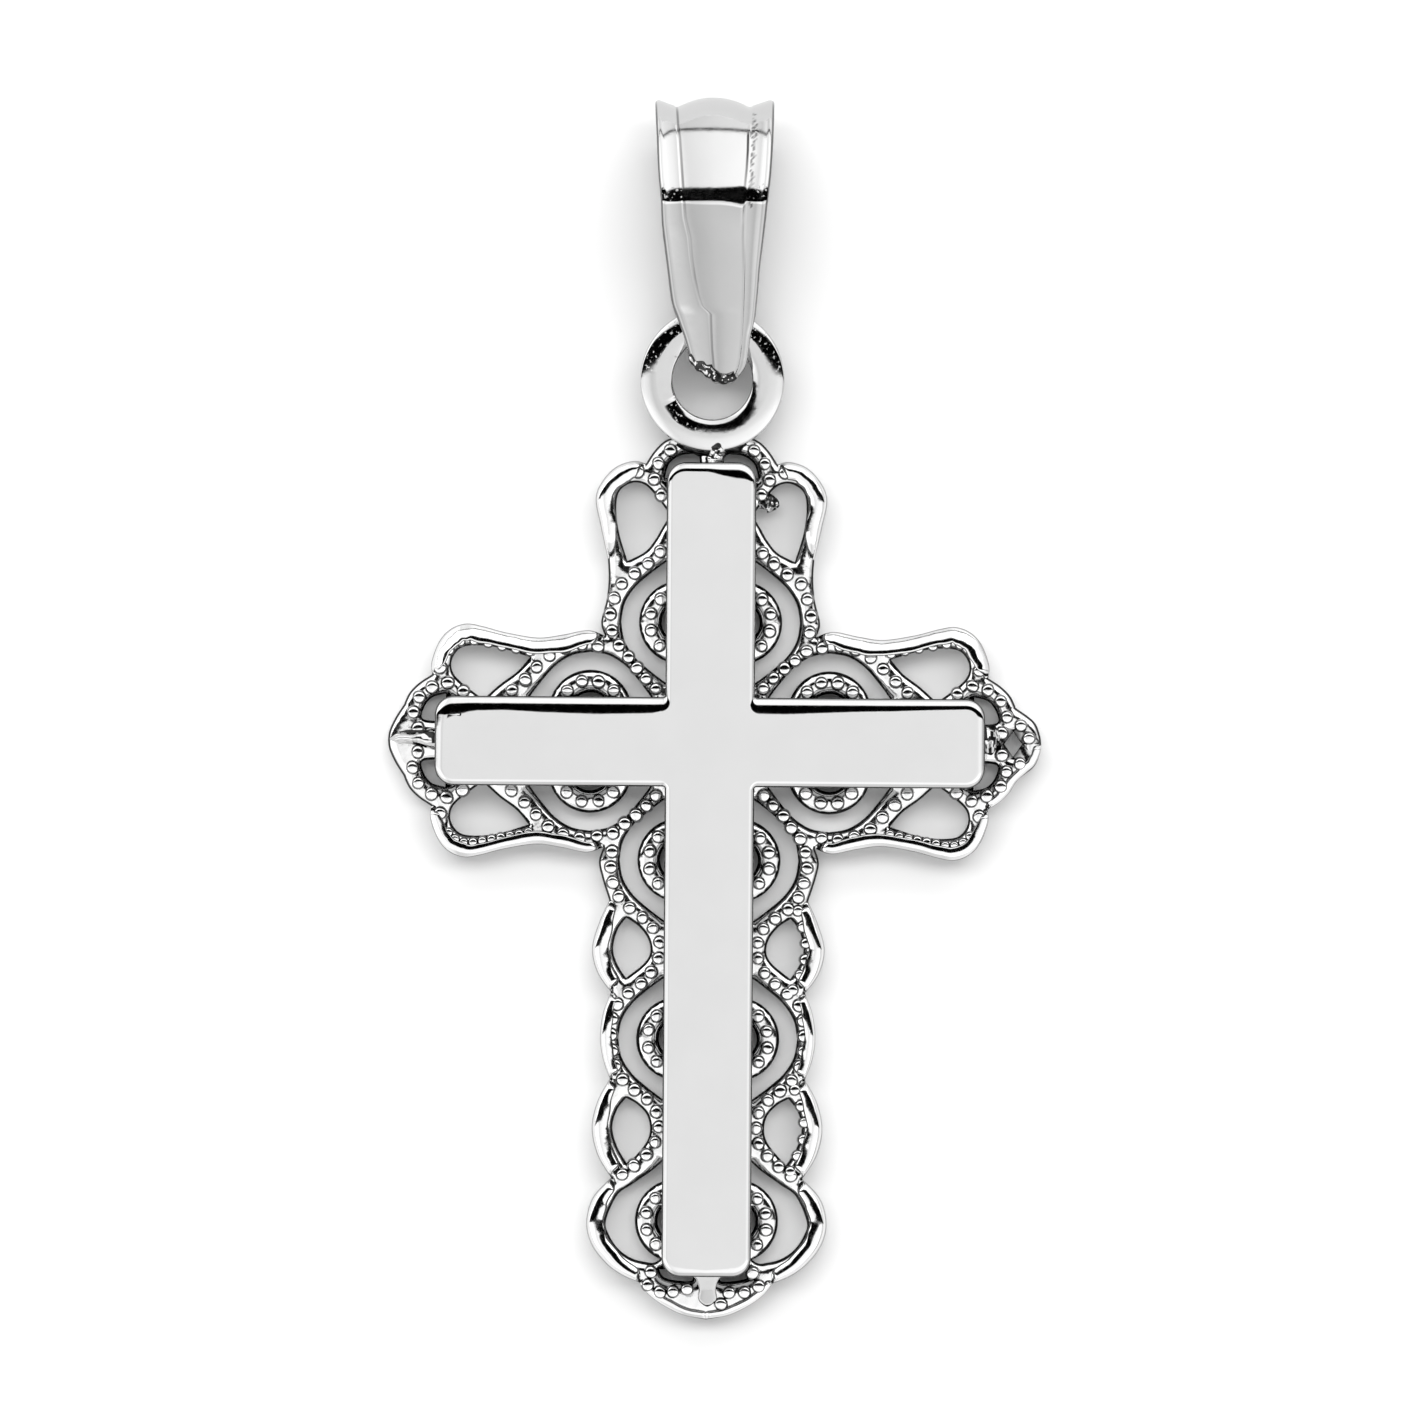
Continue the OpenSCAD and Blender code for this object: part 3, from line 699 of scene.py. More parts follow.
def boundary_loops(triangles):
    """Chains the edges that only one triangle has, with the metal on the left."""
    edges = {edge for tri in triangles for edge in zip(tri, tri[1:] + tri[:1])}
    following = {}
    for a, b in edges:
        if (b, a) not in edges:
            following.setdefault(a, []).append(b)
    loops = []
    while following:
        loop = []
        here = min(following)
        while not loop or here != loop[0]:
            loop.append(here)
            ways = following[here]
            onward = ways.pop()
            if not ways:
                del following[here]
            here = onward
        loops.append(loop)
    return loops


def offset_loop(loop, distance):
    """Moves a loop to its left by a distance."""
    out = []
    corners = [Vector(p) for p in loop]
    for before, here, after in zip(corners[-1:] + corners[:-1], corners, corners[1:] + corners[:1]):
        ahead = (here - before).normalized() + (after - here).normalized()
        if ahead.length < FOLDED_BACK:
            ahead = after - before
        ahead.normalize()
        out.append((here.x - ahead.y * distance, here.y + ahead.x * distance))
    return out


def plate_loops():
    """The loops round the plate and its gaps."""
    regions = plate_regions()
    points, triangles = triangulate([region[2] for region in regions])
    kept = [tuple(tri) for tri, found in triangles if is_metal(found, regions)]
    loops = [thinned([tuple(points[i]) for i in loop], LEAST_STEP) for loop in boundary_loops(kept)]
    return [loop for loop in loops if len(loop) > 3 and abs(signed_area(loop)) > LEAST_AREA]


def flat_face(loops, extra=()):
    """Points and triangles of the metal inside loops. A loop that runs clockwise is a hole."""
    holes = [signed_area(loop) < 0 for loop in loops]
    points, triangles = triangulate(loops, extra)
    return points, [tuple(tri) for tri, found in triangles if found and not any(holes[i] for i in found)]


def make_lace_plate():
    loops = plate_loops()
    samples = []
    for loop in loops:
        for a, b in zip(loop, loop[1:] + loop[:1]):
            steps = max(1, int(math.dist(a, b) / EDGE_SAMPLE))
            for k in range(steps):
                samples.append((a[0] + (b[0] - a[0]) * k / steps, a[1] + (b[1] - a[1]) * k / steps, 0))
    near = kdtree.KDTree(len(samples))
    for i, p in enumerate(samples):
        near.insert(p, i)
    near.balance()
    extra = []
    for distance, _ in EDGE_STEPS[1:]:
        for loop in loops:
            extra += [p for p in offset_loop(loop, distance) if near.find((*p, 0))[2] > distance * EDGE_ROOM]
    points, top = flat_face(loops, extra)
    shape = Shape()
    for p in points:
        gap = near.find((*p, 0))[2]
        shape.points.append((*p, table(EDGE_STEPS, gap)))
        # Painted shade darkens the plate along its edges
        shape.painted_shade.append(table(EDGE_PAINTED_SHADE, gap))
    shape.faces.extend(top)
    indices = [0] * len(top)
    low_loops = []
    for loop in boundary_loops(top):
        low_loops.append([tuple(points[i]) for i in loop])
        start = len(shape.points)
        shape.points.extend((*p, 0) for p in low_loops[-1])
        for k in range(len(loop)):
            after = (k + 1) % len(loop)
            shape.faces.append((loop[k], start + k, start + after, loop[after]))
        indices.extend([1] * len(loop))
    low_points, bottom = flat_face(low_loops)
    start = len(shape.points)
    shape.points.extend((*p, 0) for p in low_points)
    shape.faces.extend(tuple(start + i for i in reversed(tri)) for tri in bottom)
    indices.extend([0] * len(bottom))
    piece("lace_plate", shape, [LACE_SILVER, WALL_SILVER], indices, PLATE_SHARP)


# Rims: tilt of the surface in degrees at these shares of the width from the outer edge
RIM_SHARES = (0, 0.05, 0.12, 0.3, 0.45, 0.52, 0.6, 0.75, 0.88, 0.95, 1)
HIGH_TILTS = (70, 46, 36, 30, 24, 20, 13.5, 8, 2.5, -10, -65)
STEEP_TILTS = (78, 64, 52, 46, 41, 38, 34, 27, 6, -12, -65)
LOW_TILTS = (70, 46, 33, 26, 18, 14, 8, -2, -6, -10.5, -65)
START_TILTS = (80, 66, 46, 16, 8, 4, -1, -9, -26, -50, -70)
MIDDLE_TILTS = (82, 74, 62, 17, 6, 0, -7, -13, -22, -38, -75)
END_TILTS = (76, 58, 38, 10, -5, -9, -12, -16, -24, -40, -70)
LANE_TILTS = (70, 46, 30, 20, 9, 3, -3, -7, -10, -14, -65)

LOW_RIM_WIDTH = 0.76
LOW_ARM_EDGE = [(along, out, width * LOW_RIM_WIDTH) for along, out, width in SIDE_ARM_EDGE]

# Rims: turn, side, edge, tilts at the start, the middle and the end, height, how much the crest arches, and
# how many steps long the tapered ends are
RIMS = [
    (0, 1, SIDE_ARM_EDGE, (HIGH_TILTS,) * 3, 0.29, 0, 10),
    (180, -1, SIDE_ARM_EDGE, (HIGH_TILTS, HIGH_TILTS, STEEP_TILTS), 0.29, 0, 10),
    (0, -1, LOW_ARM_EDGE, (LANE_TILTS,) * 3, 0.27, 0, 10),
    (180, 1, LOW_ARM_EDGE, (LANE_TILTS,) * 3, 0.27, 0, 10),
    (0, -1, RIGHT_TIP_EDGE, (LOW_TILTS,) * 3, 0.16, 0, 8)
]
for rim_side in SIDES:
    RIMS.append((90, rim_side, UP_ARM_HIGH_EDGE, (MIDDLE_TILTS, START_TILTS, MIDDLE_TILTS), 0.29, 0, 10))
    for lobe in SHAFT_LOBES:
        RIMS.append((270, rim_side, lobe, (START_TILTS, MIDDLE_TILTS, END_TILTS), 0.29, 0.3, 5))
    RIMS.append((270, rim_side, FOOT_TIP_EDGE, (LOW_TILTS,) * 3, 0.12, 0, 4))
RIM_ROOT = 0.53
RIM_OVERLAP = 0.012
RIM_OUTER_ROOT = 0.3
RIM_INNER_ROOT = 0.42
RIM_SINK = 0.02
RIM_STEPS = 26
RIM_CURVE_STEPS = 14
RIM_END_WIDTH = 0.4
RIM_WAVER = 0.12
RIM_WAVER_STEP = 0.1
RIM_SHARP = 60
RIM_ARCH_AT = 0.52
RIM_FAR_ARCH = 0.1
# Painted shade along both edges of a rim, by the share of its width
RIM_PAINTED_SHADE = [(0, 0), (0.03, 0.3), (0.07, 1), (0.93, 1), (0.97, 0.3), (1, 0)]


def profile_from_tilts(tilts, width, steps):
    """Rows of (distance, height below the highest place) from a table of share and tilt."""
    heights = [0]
    for k in range(steps):
        slope = math.tan(math.radians(table(tilts, (k + 0.5) / steps)))
        heights.append(heights[-1] + slope * width / steps)
    top = max(heights)
    return [(width * k / steps, h - top) for k, h in enumerate(heights)]


def rim_tilts(stages, share):
    """Table of the tilts at a share of the rim's length."""
    low, high = (stages[0], stages[1]) if share < 0.5 else (stages[1], stages[2])
    mix = 2 * share if share < 0.5 else 2 * share - 1
    return [(at, a + (b - a) * mix) for at, a, b in zip(RIM_SHARES, low, high)]


def rim_fall(arch, share):
    """How far the crest has come down at a share of the rim's length."""
    beyond = share - RIM_ARCH_AT
    if beyond > 0:
        return arch * RIM_FAR_ARCH * (beyond / (1 - RIM_ARCH_AT)) ** 2
    return arch * (beyond / RIM_ARCH_AT) ** 2


def make_rims():
    shape = Shape()
    for turn, side, edge, stages, height, arch, end_steps in RIMS:
        path = curve(edge, RIM_CURVE_STEPS)
        last = len(path) - 1
        rings = []
        for i, p in enumerate(path):
            ahead = direction(path, i)
            inward = Vector((ahead.y, -ahead.x))
            taper = math.sin(min(1, min(i, last - i) / end_steps) * math.pi / 2)
            waver = 1 + RIM_WAVER * noise.noise(Vector((i * RIM_WAVER_STEP, turn, side / 3)))
            width = p[2] * (RIM_END_WIDTH + (1 - RIM_END_WIDTH) * taper) * waver
            crest = RIM_ROOT + height * taper * (1 - rim_fall(arch, i / last))
            profile = profile_from_tilts(rim_tilts(stages, i / last), width, RIM_STEPS)
            section = [(RIM_OVERLAP, RIM_OUTER_ROOT)]
            section += [(d, max(crest + h, RIM_INNER_ROOT)) for d, h in profile]
            section.append((width, RIM_INNER_ROOT - RIM_SINK))
            if side < 0:
                section.reverse()
            rings.append([(*on_arm(turn, side, Vector(p[:2]) + inward * d), z) for d, z in section])
            # Painted shade along both edges of the rim
            shape.painted_shade.extend(table(RIM_PAINTED_SHADE, d / width) for d, _ in section)
        shape.rings(rings, caps=True)
    piece("lace_rims", shape, [RIM_SILVER], None, RIM_SHARP)


# Grains: rows of (distance from the middle, drop below the crown, painted shade that darkens the foot), from
# the foot up
GRAIN_SECTION = [
    (0.157, 0.27, 0), (0.148, 0.17, 0), (0.136, 0.09, 0), (0.126, 0.045, 0), (0.12, 0.029, 0),
    (0.113, 0.0195, 0.6), (0.101, 0.0118, 1), (0.086, 0.0066, 1), (0.06, 0.0027, 1), (0.03, 0.0006, 1)
]
GRAIN_SIDES = 14
GRAIN_TILT = 0.06
GRAIN_SHIFT = 0.012
GRAIN_STRETCH = 0.05
GRAIN_SIZES = (0.95, 1.06)
GRAIN_HEIGHTS = (-0.03, 0.02)
HIDDEN_SIZES = (0.95, 1.05)
HIDDEN_HEIGHTS = (-0.02, 0.02)
GRAIN_SEED = 11


def grain_places():
    """Places of the grains in the lanes and on the rosettes."""
    places = []
    for turn in TURNS:
        places += turned(turn, 1, spaced(CORNER_ROW, GRAIN_PITCH))
        for side in SIDES:
            if (turn, side) == (0, -1):
                places += turned(turn, side, LOW_TIP_GRAINS)
            for row in GRAIN_ROWS[turn, side]:
                places += turned(turn, side, spaced(row, GRAIN_PITCH))
            for along in rosettes(turn):
                places += turned(turn, side, arc(along, ROSETTE_OUT, ROSETTE_GRAIN_R, *ROSETTE_GRAIN_ARC))
    return places


def add_grain(shape, draw, x, y, size, top):
    """A round grain that leans a little."""
    stretch = 1 + draw.uniform(-GRAIN_STRETCH, GRAIN_STRETCH)
    spin = draw.uniform(0, math.pi)
    lean_x = draw.uniform(-GRAIN_TILT, GRAIN_TILT)
    lean_y = draw.uniform(-GRAIN_TILT, GRAIN_TILT)
    rings = []
    for r, drop, shade_value in GRAIN_SECTION:
        ring = []
        for u, v in circle(0, 0, r * size, GRAIN_SIDES):
            dx = u * stretch * math.cos(spin) - v / stretch * math.sin(spin)
            dy = u * stretch * math.sin(spin) + v / stretch * math.cos(spin)
            ring.append((x + dx, y + dy, top - drop * size + dx * lean_x + dy * lean_y))
        rings.append(ring)
        shape.painted_shade.extend([shade_value] * GRAIN_SIDES)
    start = len(shape.points)
    shape.rings(rings)
    crown = len(shape.points)
    shape.points.append((x, y, top))
    shape.painted_shade.append(1)
    for k in range(GRAIN_SIDES):
        shape.faces.append((crown - GRAIN_SIDES + k, crown - GRAIN_SIDES + (k + 1) % GRAIN_SIDES, crown))
    shape.faces.append(tuple(start + k for k in reversed(range(GRAIN_SIDES))))


def make_grains():
    draw = random.Random(GRAIN_SEED)
    shape = Shape()
    for x, y in grain_places():
        add_grain(shape, draw, x + draw.uniform(-GRAIN_SHIFT, GRAIN_SHIFT),
                  y + draw.uniform(-GRAIN_SHIFT, GRAIN_SHIFT), draw.uniform(*GRAIN_SIZES),
                  GRAIN_TOP + draw.uniform(*GRAIN_HEIGHTS))
    for turn, side, row, size, pitch in HALF_HIDDEN_ROWS:
        for x, y in turned(turn, side, spaced(row, pitch)):
            add_grain(shape, draw, x, y, size * draw.uniform(*HIDDEN_SIZES),
                      GRAIN_TOP + draw.uniform(*HIDDEN_HEIGHTS))
    piece("lace_grains", shape, [GRAIN_SILVER])


# Plain cross: tilt of its softened edge by the share of its width, and painted shade that darkens its outer
# edge by the distance from the edge
BAR_EDGE_W = 0.42
BAR_TILTS = [
    (0, 78), (0.015, 60), (0.04, 42), (0.1, 30), (0.22, 19), (0.34, 12.3), (0.37, 10.5), (0.57, 6.3),
    (0.82, 2.2), (0.87, 1.2), (0.93, 0.5), (1, 0)
]
BAR_EDGE_STEPS = 30
BAR_PAINTED_SHADE = [(0, 0), (0.022, 0), (0.034, 1)]
CORNER_STEPS = 12
SIDE_STEPS = 28
LEAST_CORNER = 0.01
FILLET_GROWTH = 0.45

# Arms of the plain cross: turn, reach, and rows of (place, share of the softened edge's width) for the first
# side from the crossing outwards, for the end and for the other side
NARROW = [(0, 0.3)]
EVEN = [(0, 0.35)]
BAR_ARMS = [
    (0, BAR_SIDE, EVEN, [(-1, 0.4), (1, 0.45)],
     [(0.93, 0.93), (1.6, 0.95), (2.3, 0.86), (3.1, 0.76), (3.8, 0.72), (4.5, 0.64), (5.3, 0.58)]),
    (90, BAR_UP, NARROW, [(-0.93, 0.6), (-0.6, 0.95), (-0.25, 0.75), (0.05, 0.52), (0.93, 0.5)], NARROW),
    (180, BAR_SIDE,
     [(0.93, 0.82), (1.25, 0.95), (2.4, 1.02), (3.5, 0.92), (4.3, 0.8), (4.9, 0.85), (5.3, 1.1)],
     [(-1, 0.8), (-0.3, 0.45), (1, 0.4)], EVEN),
    (270, BAR_DOWN, NARROW, [(-1, 0.85), (-0.45, 0.5), (0, 0.4), (0.45, 0.5), (1, 0.85)], NARROW)
]


def bar_side(turned_in, side, start, stop, inset):
    """Places along one side of a bar."""
    places = [start + (stop - start) * k / SIDE_STEPS for k in range(1, SIDE_STEPS)]
    return [(x, side * (BAR_HALF - table(turned_in, x) * inset)) for x in places]


def bar_corner(cx, cy, end, edge, start, inset):
    """A rounded corner at the end of a bar."""
    rx = max(BAR_CORNER - table(end, cy) * inset, LEAST_CORNER)
    ry = max(BAR_CORNER - table(edge, cx) * inset, LEAST_CORNER)
    return [(cx + rx * u, cy + ry * v) for u, v in arc(0, 0, 1, start, start + 90, CORNER_STEPS)]


def cross_outline(share):
    """The plain cross drawn in from its edge, with the same number of points each time."""
    inset = share * BAR_EDGE_W
    fillet = BAR_FILLET + FILLET_GROWTH * inset
    cy = BAR_HALF - BAR_CORNER
    out = []
    for i, (turn, reach, first, end, other) in enumerate(BAR_ARMS):
        cx = reach - BAR_CORNER
        start = BAR_HALF + fillet - table(BAR_ARMS[i - 1][4], BAR_HALF) * inset
        stop = BAR_HALF + fillet - table(BAR_ARMS[(i + 1) % 4][2], BAR_HALF) * inset
        path = bar_side(first, -1, start, cx, inset) + bar_corner(cx, -cy, end, first, -90, inset)
        for k in range(1, CORNER_STEPS):
            y = -cy + 2 * cy * k / CORNER_STEPS
            path.append((reach - table(end, y) * inset, y))
        path += bar_corner(cx, cy, end, other, 0, inset) + bar_side(other, 1, cx, stop, inset)
        path += arc(stop, BAR_HALF - table(other, BAR_HALF) * inset + fillet, fillet, 270, 180, CORNER_STEPS)
        out += turned(turn, 1, path)
    return out


def make_plain_cross():
    shape = Shape()
    outline = cross_outline(0)
    rings = [[(x, y, BAR_ROOT) for x, y in outline]]
    shape.painted_shade = [1] * len(outline)
    for distance, drop in profile_from_tilts(BAR_TILTS, BAR_EDGE_W, BAR_EDGE_STEPS):
        inner = cross_outline(distance / BAR_EDGE_W)
        rings.append([(x, y, BAR_TOP + drop) for x, y in inner])
        # Painted shade darkens the outer edge
        shape.painted_shade.extend(table(BAR_PAINTED_SHADE, math.dist(a, b)) for a, b in zip(outline, inner))
    shape.rings(rings, caps=True)
    piece("plain_cross", shape, [BAR_SILVER])


# Solder lumps: how fine their roughness and their patches are, how low they go, and where they are dark:
# painted shade on their sides, and patches
LUMP_GRAIN = 7
LUMP_LOWEST = 0.02
LUMP_SHADED_SIDE = 0.85
PATCH_GRAIN = 15
PATCH_LEVEL = 0.4
PATCH_GAIN = 0.9


def make_lump(name, seed, rough, materials, dark_share, steps, spine, sides=20, stands_for=CROSS):
    """A lump along a spine, with the last material at its sides as painted shade, and in patches."""
    shape = Shape()
    path = curve(spine, steps)
    rings = []
    indices = []
    for i, (x, y, z, r, flat) in enumerate(path):
        ahead = direction(path, i)
        ring = []
        for u, v in circle(0, 0, 1, sides):
            px = x - ahead.y * u * r
            py = y + ahead.x * u * r
            pz = z + v * r * flat
            shift = noise.noise(Vector((px * LUMP_GRAIN + seed, py * LUMP_GRAIN, pz * LUMP_GRAIN))) * rough
            px -= ahead.y * u * shift
            py += ahead.x * u * shift
            pz += v * shift
            ring.append((px, py, max(pz, LUMP_LOWEST)))
            patch = noise.noise(Vector((px, py, pz)) * PATCH_GRAIN + Vector((seed, 0, 0)))
            # The sides are painted with shade; patches darken at random
            dark = abs(u) > LUMP_SHADED_SIDE or patch > PATCH_LEVEL - PATCH_GAIN * dark_share
            indices.append(len(materials) - 1 if dark else 0)
        rings.append(ring)
    shape.rings(rings, caps=True)
    piece(name, shape, materials, indices[:-sides] + [0, 0], None, stands_for)


# Foot tab: rows of (along, half of its width, height), and its section as shares of the width and the height
FOOT_TAB = [
    (-10.9, 0.5, 1.3), (-11.02, 0.4, 1.3), (-11.1, 0.32, 1.26), (-11.18, 0.24, 1.18), (-11.3, 0.19, 1.06),
    (-11.42, 0.18, 0.94), (-11.54, 0.2, 0.83), (-11.64, 0.17, 0.74), (-11.72, 0.08, 0.66), (-11.75, 0.02, 0.6)
]
FOOT_TAB_HALF = [(1, 1), (1, 0.2), (0.96, 0.1), (0.86, 0.04), (0.7, 0.01), (0.4, 0)]
FOOT_TAB_SECTION = [*FOOT_TAB_HALF, (0, 0), *((-across, drop) for across, drop in reversed(FOOT_TAB_HALF))]
FOOT_TAB_X = 0.03
FOOT_TAB_STEPS = 4
# Painted shade on the sides of the tab
FOOT_TAB_PAINTED_SHADE = 0.3


def make_foot_tab():
    shape = Shape()
    rings = []
    for along, half, top in curve(FOOT_TAB, FOOT_TAB_STEPS):
        rings.append([(FOOT_TAB_X + across * half, along, top - drop * (top - BAR_ROOT))
                      for across, drop in FOOT_TAB_SECTION])
    shape.rings(rings, caps=True)
    shape.painted_shade = [FOOT_TAB_PAINTED_SHADE if abs(across) == 1 else 1 for across, _ in FOOT_TAB_SECTION] * len(rings)
    piece("foot_tab", shape, [BAR_SILVER])


# Solder: name, seed, roughness, materials, dark share, steps, and rows of (x, y, z, radius, height share)
# Solder, with painted shade on its sides and in patches
SOLDER_AND_PAINTED_SHADE = [SOLDER_SILVER, PAINTED_SHADE_SILVER]
LUMPS = [
    ("left_spike", 2, 0.05, [RING_SILVER], 0, 6, [
        (-5.6, 0.02, 0.75, 0.26, 1), (-5.78, 0.02, 0.72, 0.22, 1), (-6, 0.03, 0.66, 0.15, 1.1),
        (-6.3, 0.03, 0.6, 0.11, 1.2), (-6.55, 0.02, 0.55, 0.08, 1.2), (-6.66, 0.01, 0.5, 0.03, 1)
    ]),
    # A line of painted shade along the upper side of the spike
    ("spike_painted_shade", 9, 0.05, [PAINTED_SHADE_SILVER], 0, 6, [
        (-6.46, 0.17, 0.56, 0.02, 1), (-6.25, 0.18, 0.66, 0.035, 1), (-6, 0.16, 0.76, 0.04, 1),
        (-5.82, 0.14, 0.86, 0.06, 1), (-5.74, 0.06, 0.98, 0.06, 1), (-5.72, -0.06, 0.98, 0.03, 1)
    ]),
    ("right_blob", 3, 0.1, SOLDER_AND_PAINTED_SHADE, 0.4, 6, [
        (5.6, 0.05, 0.7, 0.26, 1), (5.78, 0.08, 0.72, 0.3, 0.9), (5.95, 0.08, 0.66, 0.24, 0.9),
        (6.08, 0.06, 0.58, 0.12, 1), (6.12, 0.05, 0.5, 0.04, 1)
    ]),
    ("ring_nib", 4, 0.12, SOLDER_AND_PAINTED_SHADE, 0.15, 8, [
        (0.04, 5.76, 0.85, 0.16, 1.6), (0.06, 5.88, 0.9, 0.17, 1.6), (0.1, 6, 0.95, 0.15, 1.4),
        (0.13, 6.12, 1, 0.13, 1.2), (0.13, 6.2, 1, 0.08, 1)
    ]),
    # Painted shade on the top of the ring's nib
    ("nib_painted_shade", 8, 0.06, [PAINTED_SHADE_SILVER], 0, 6, [
        (0, 6.1, 1.1, 0.03, 1), (0.05, 6.13, 1.13, 0.06, 1), (0.13, 6.16, 1.13, 0.07, 1),
        (0.2, 6.12, 1.1, 0.03, 1)
    ]),
    # A painted shadow under the ring's lower edge
    ("ring_painted_shadow", 5, 0.06, [PAINTED_SHADE_SILVER], 0, 6, [
        (-0.72, 6.22, 0.5, 0.03, 1.6), (-0.55, 6.13, 0.5, 0.08, 1.6), (-0.3, 6.06, 0.5, 0.09, 1.6),
        (0, 6.03, 0.5, 0.09, 1.6), (0.3, 6.06, 0.5, 0.09, 1.6), (0.55, 6.13, 0.5, 0.08, 1.6),
        (0.72, 6.22, 0.5, 0.03, 1.6)
    ]),
    ("casting_burr", 6, 0.06, SOLDER_AND_PAINTED_SHADE, 0.4, 6, [
        (0.98, 4.95, 0.42, 0.08, 1), (1.12, 4.98, 0.46, 0.17, 0.7), (1.26, 4.96, 0.46, 0.18, 0.7),
        (1.38, 4.88, 0.42, 0.06, 1)
    ])
]


# Ring: tilt of its face by the share of the half band from its middle, for the outer side, the inner side and
# the parts of the inner side that are filed wider or left sharp
RING_OUTER_TILTS = [
    (0, -1), (0.03, -2.7), (0.32, -7.3), (0.6, -12), (0.85, -17), (0.92, -28), (0.96, -50), (1, -86)
]
RING_INNER_TILTS = [(0, 0), (0.4, -1.2), (0.45, -2.2), (0.69, -10.75), (0.93, -30), (0.96, -50), (1, -86)]
RING_FILED_TILTS = [(0, -1.5), (0.08, -2.7), (0.5, -8), (0.84, -15), (0.93, -33), (0.97, -60), (1, -86)]
RING_SHARP_TILTS = [(0, 0), (0.8, -0.8), (0.9, -6), (0.94, -40), (1, -86)]
# By the angle in degrees: how far it is filed, how far it is sharp, and pits on its outer (1) or inner side
RING_FILED = [(204, 0), (209, 1), (232, 1), (256, 0.2), (275, 0.2), (305, 0.65), (325, 0.55), (350, 0)]
RING_SHARP = [(130, 0), (150, 1), (204, 1), (209, 0)]
RING_PITTED = [(8, 62, 1), (118, 172, 1), (206, 252, -1)]
RING_FACE_STEPS = 40
RING_WALL_STEPS = 2
RING_STEPS = 240


def make_ring():
    half_band = (RING_OUTER - RING_INNER) / 2
    middle = (RING_OUTER + RING_INNER) / 2
    outer, narrow, filed, sharp = (
        profile_from_tilts(tilts, half_band, RING_FACE_STEPS)
        for tilts in (RING_OUTER_TILTS, RING_INNER_TILTS, RING_FILED_TILTS, RING_SHARP_TILTS))
    shape = Shape()
    rings = []
    for k in range(RING_STEPS):
        degrees = 360 * k / RING_STEPS
        share = table(RING_FILED, degrees)
        keen = table(RING_SHARP, degrees)
        face = [(d, RING_HALF_T + drop) for d, drop in outer]
        inner = [(-a[0], RING_HALF_T + a[1] + (b[1] - a[1]) * share + (c[1] - a[1]) * keen)
                 for a, b, c in zip(narrow, filed, sharp)]
        section = face + [(u, -h) for u, h in reversed(face)]
        section += [(u, -h) for u, h in inner[1:]] + list(reversed(inner[1:]))
        rings.append([(*polar(0, RING_Y, middle + u, degrees), RING_Z + h) for u, h in section])
    shape.rings(rings, closed_along=True)
    width = len(rings[0])
    indices = []
    for number in range(len(shape.faces)):
        degrees = 360 * (number // width + 0.5) / RING_STEPS
        column = number % width
        side = 1 if column < RING_FACE_STEPS else -1
        top = side == 1 or column >= width - RING_FACE_STEPS
        pitted = any(low < degrees < high and side == where for low, high, where in RING_PITTED)
        walled = abs(column - (width - RING_FACE_STEPS - 1)) < RING_WALL_STEPS
        indices.append(2 if walled else 1 if top and pitted else 0)
    piece("hanging_ring", shape, [RING_SILVER, PITTED_SILVER, WALL_SILVER], indices)


# Bail: tilt of the metal towards the top, by the distance up from the tip
BAIL_REACH = BAIL_TOP_Y - BAIL_TIP_Y
BAIL_SLOPE = 23.1
BAIL_TILTS = [
    (0, -BAIL_SLOPE), (3.6, -BAIL_SLOPE), (3.72, -BAIL_SLOPE), (3.77, 3), (3.95, 7), (4.03, 9), (4.1, 12.5),
    (4.5, 18), (5, 26), (5.32, 33), (5.55, 43), (5.75, 57), (5.88, 72), (5.955, 86)
]
BAIL_STEP = 0.012
BAIL_STATION_STEPS = 4
BAIL_TURN_STEPS = 24
BAIL_BACK_STEPS = 28
BAIL_UNDER_STEPS = 10
BAIL_BACK_ARCH = 1.8
BAIL_HALF_WIDTHS = [
    (0, 0.18), (0.12, 0.31), (0.31, 0.48), (0.48, 0.58), (0.73, 0.64), (1, 0.7), (1.25, 0.785), (1.67, 0.885),
    (2.42, 0.968), (3.26, 1.072), (3.88, 1.12), (4.36, 1.17), (5.17, 1.213), (5.96, 1.243)
]
BAIL_MIDDLES = [
    (0, 0.23), (0.12, 0.22), (0.31, 0.19), (0.48, 0.14), (0.73, 0.122), (1, 0.097), (1.25, 0.085),
    (1.67, 0.038), (2.4, 0.024), (3.26, 0.024), (3.88, 0.046), (5.2, 0.057), (5.96, 0.05)
]
# The two creases between the middle panel and the side panels, and the painted shade in them: 0 dark, 1 none
BAIL_LEFT_CREASE = [
    (0, 0.16), (0.12, 0.1), (0.3, 0.03), (0.73, -0.008), (1.08, -0.023), (1.45, -0.035), (1.5, -0.1),
    (1.56, -0.17), (1.6, -0.215), (1.83, -0.287), (2.19, -0.362), (2.6, -0.423), (3.02, -0.46),
    (3.42, -0.556), (3.88, -0.592), (4.3, -0.619), (4.66, -0.642), (5.13, -0.673), (5.4, -0.71), (5.96, -0.74)
]
BAIL_RIGHT_CREASE = [
    (0, 0.32), (0.12, 0.42), (0.3, 0.5), (0.5, 0.55), (1, 0.6), (1.5, 0.62), (2.4, 0.64), (3, 0.63),
    (3.4, 0.64), (3.8, 0.66), (4.12, 0.677), (4.48, 0.712), (4.85, 0.735), (5.2, 0.742), (5.96, 0.78)
]
BAIL_LEFT_PAINTED_SHADE = [
    (0, 0.6), (0.4, 0.5), (1.4, 0.6), (1.65, 0.85), (2.2, 0.6), (2.5, 0.75), (2.9, 0.85), (3.4, 0.8),
    (3.9, 0.5), (4.2, 0.35), (4.7, 0.45), (5.1, 0.5), (5.3, 0.4), (5.9, 0.4)
]
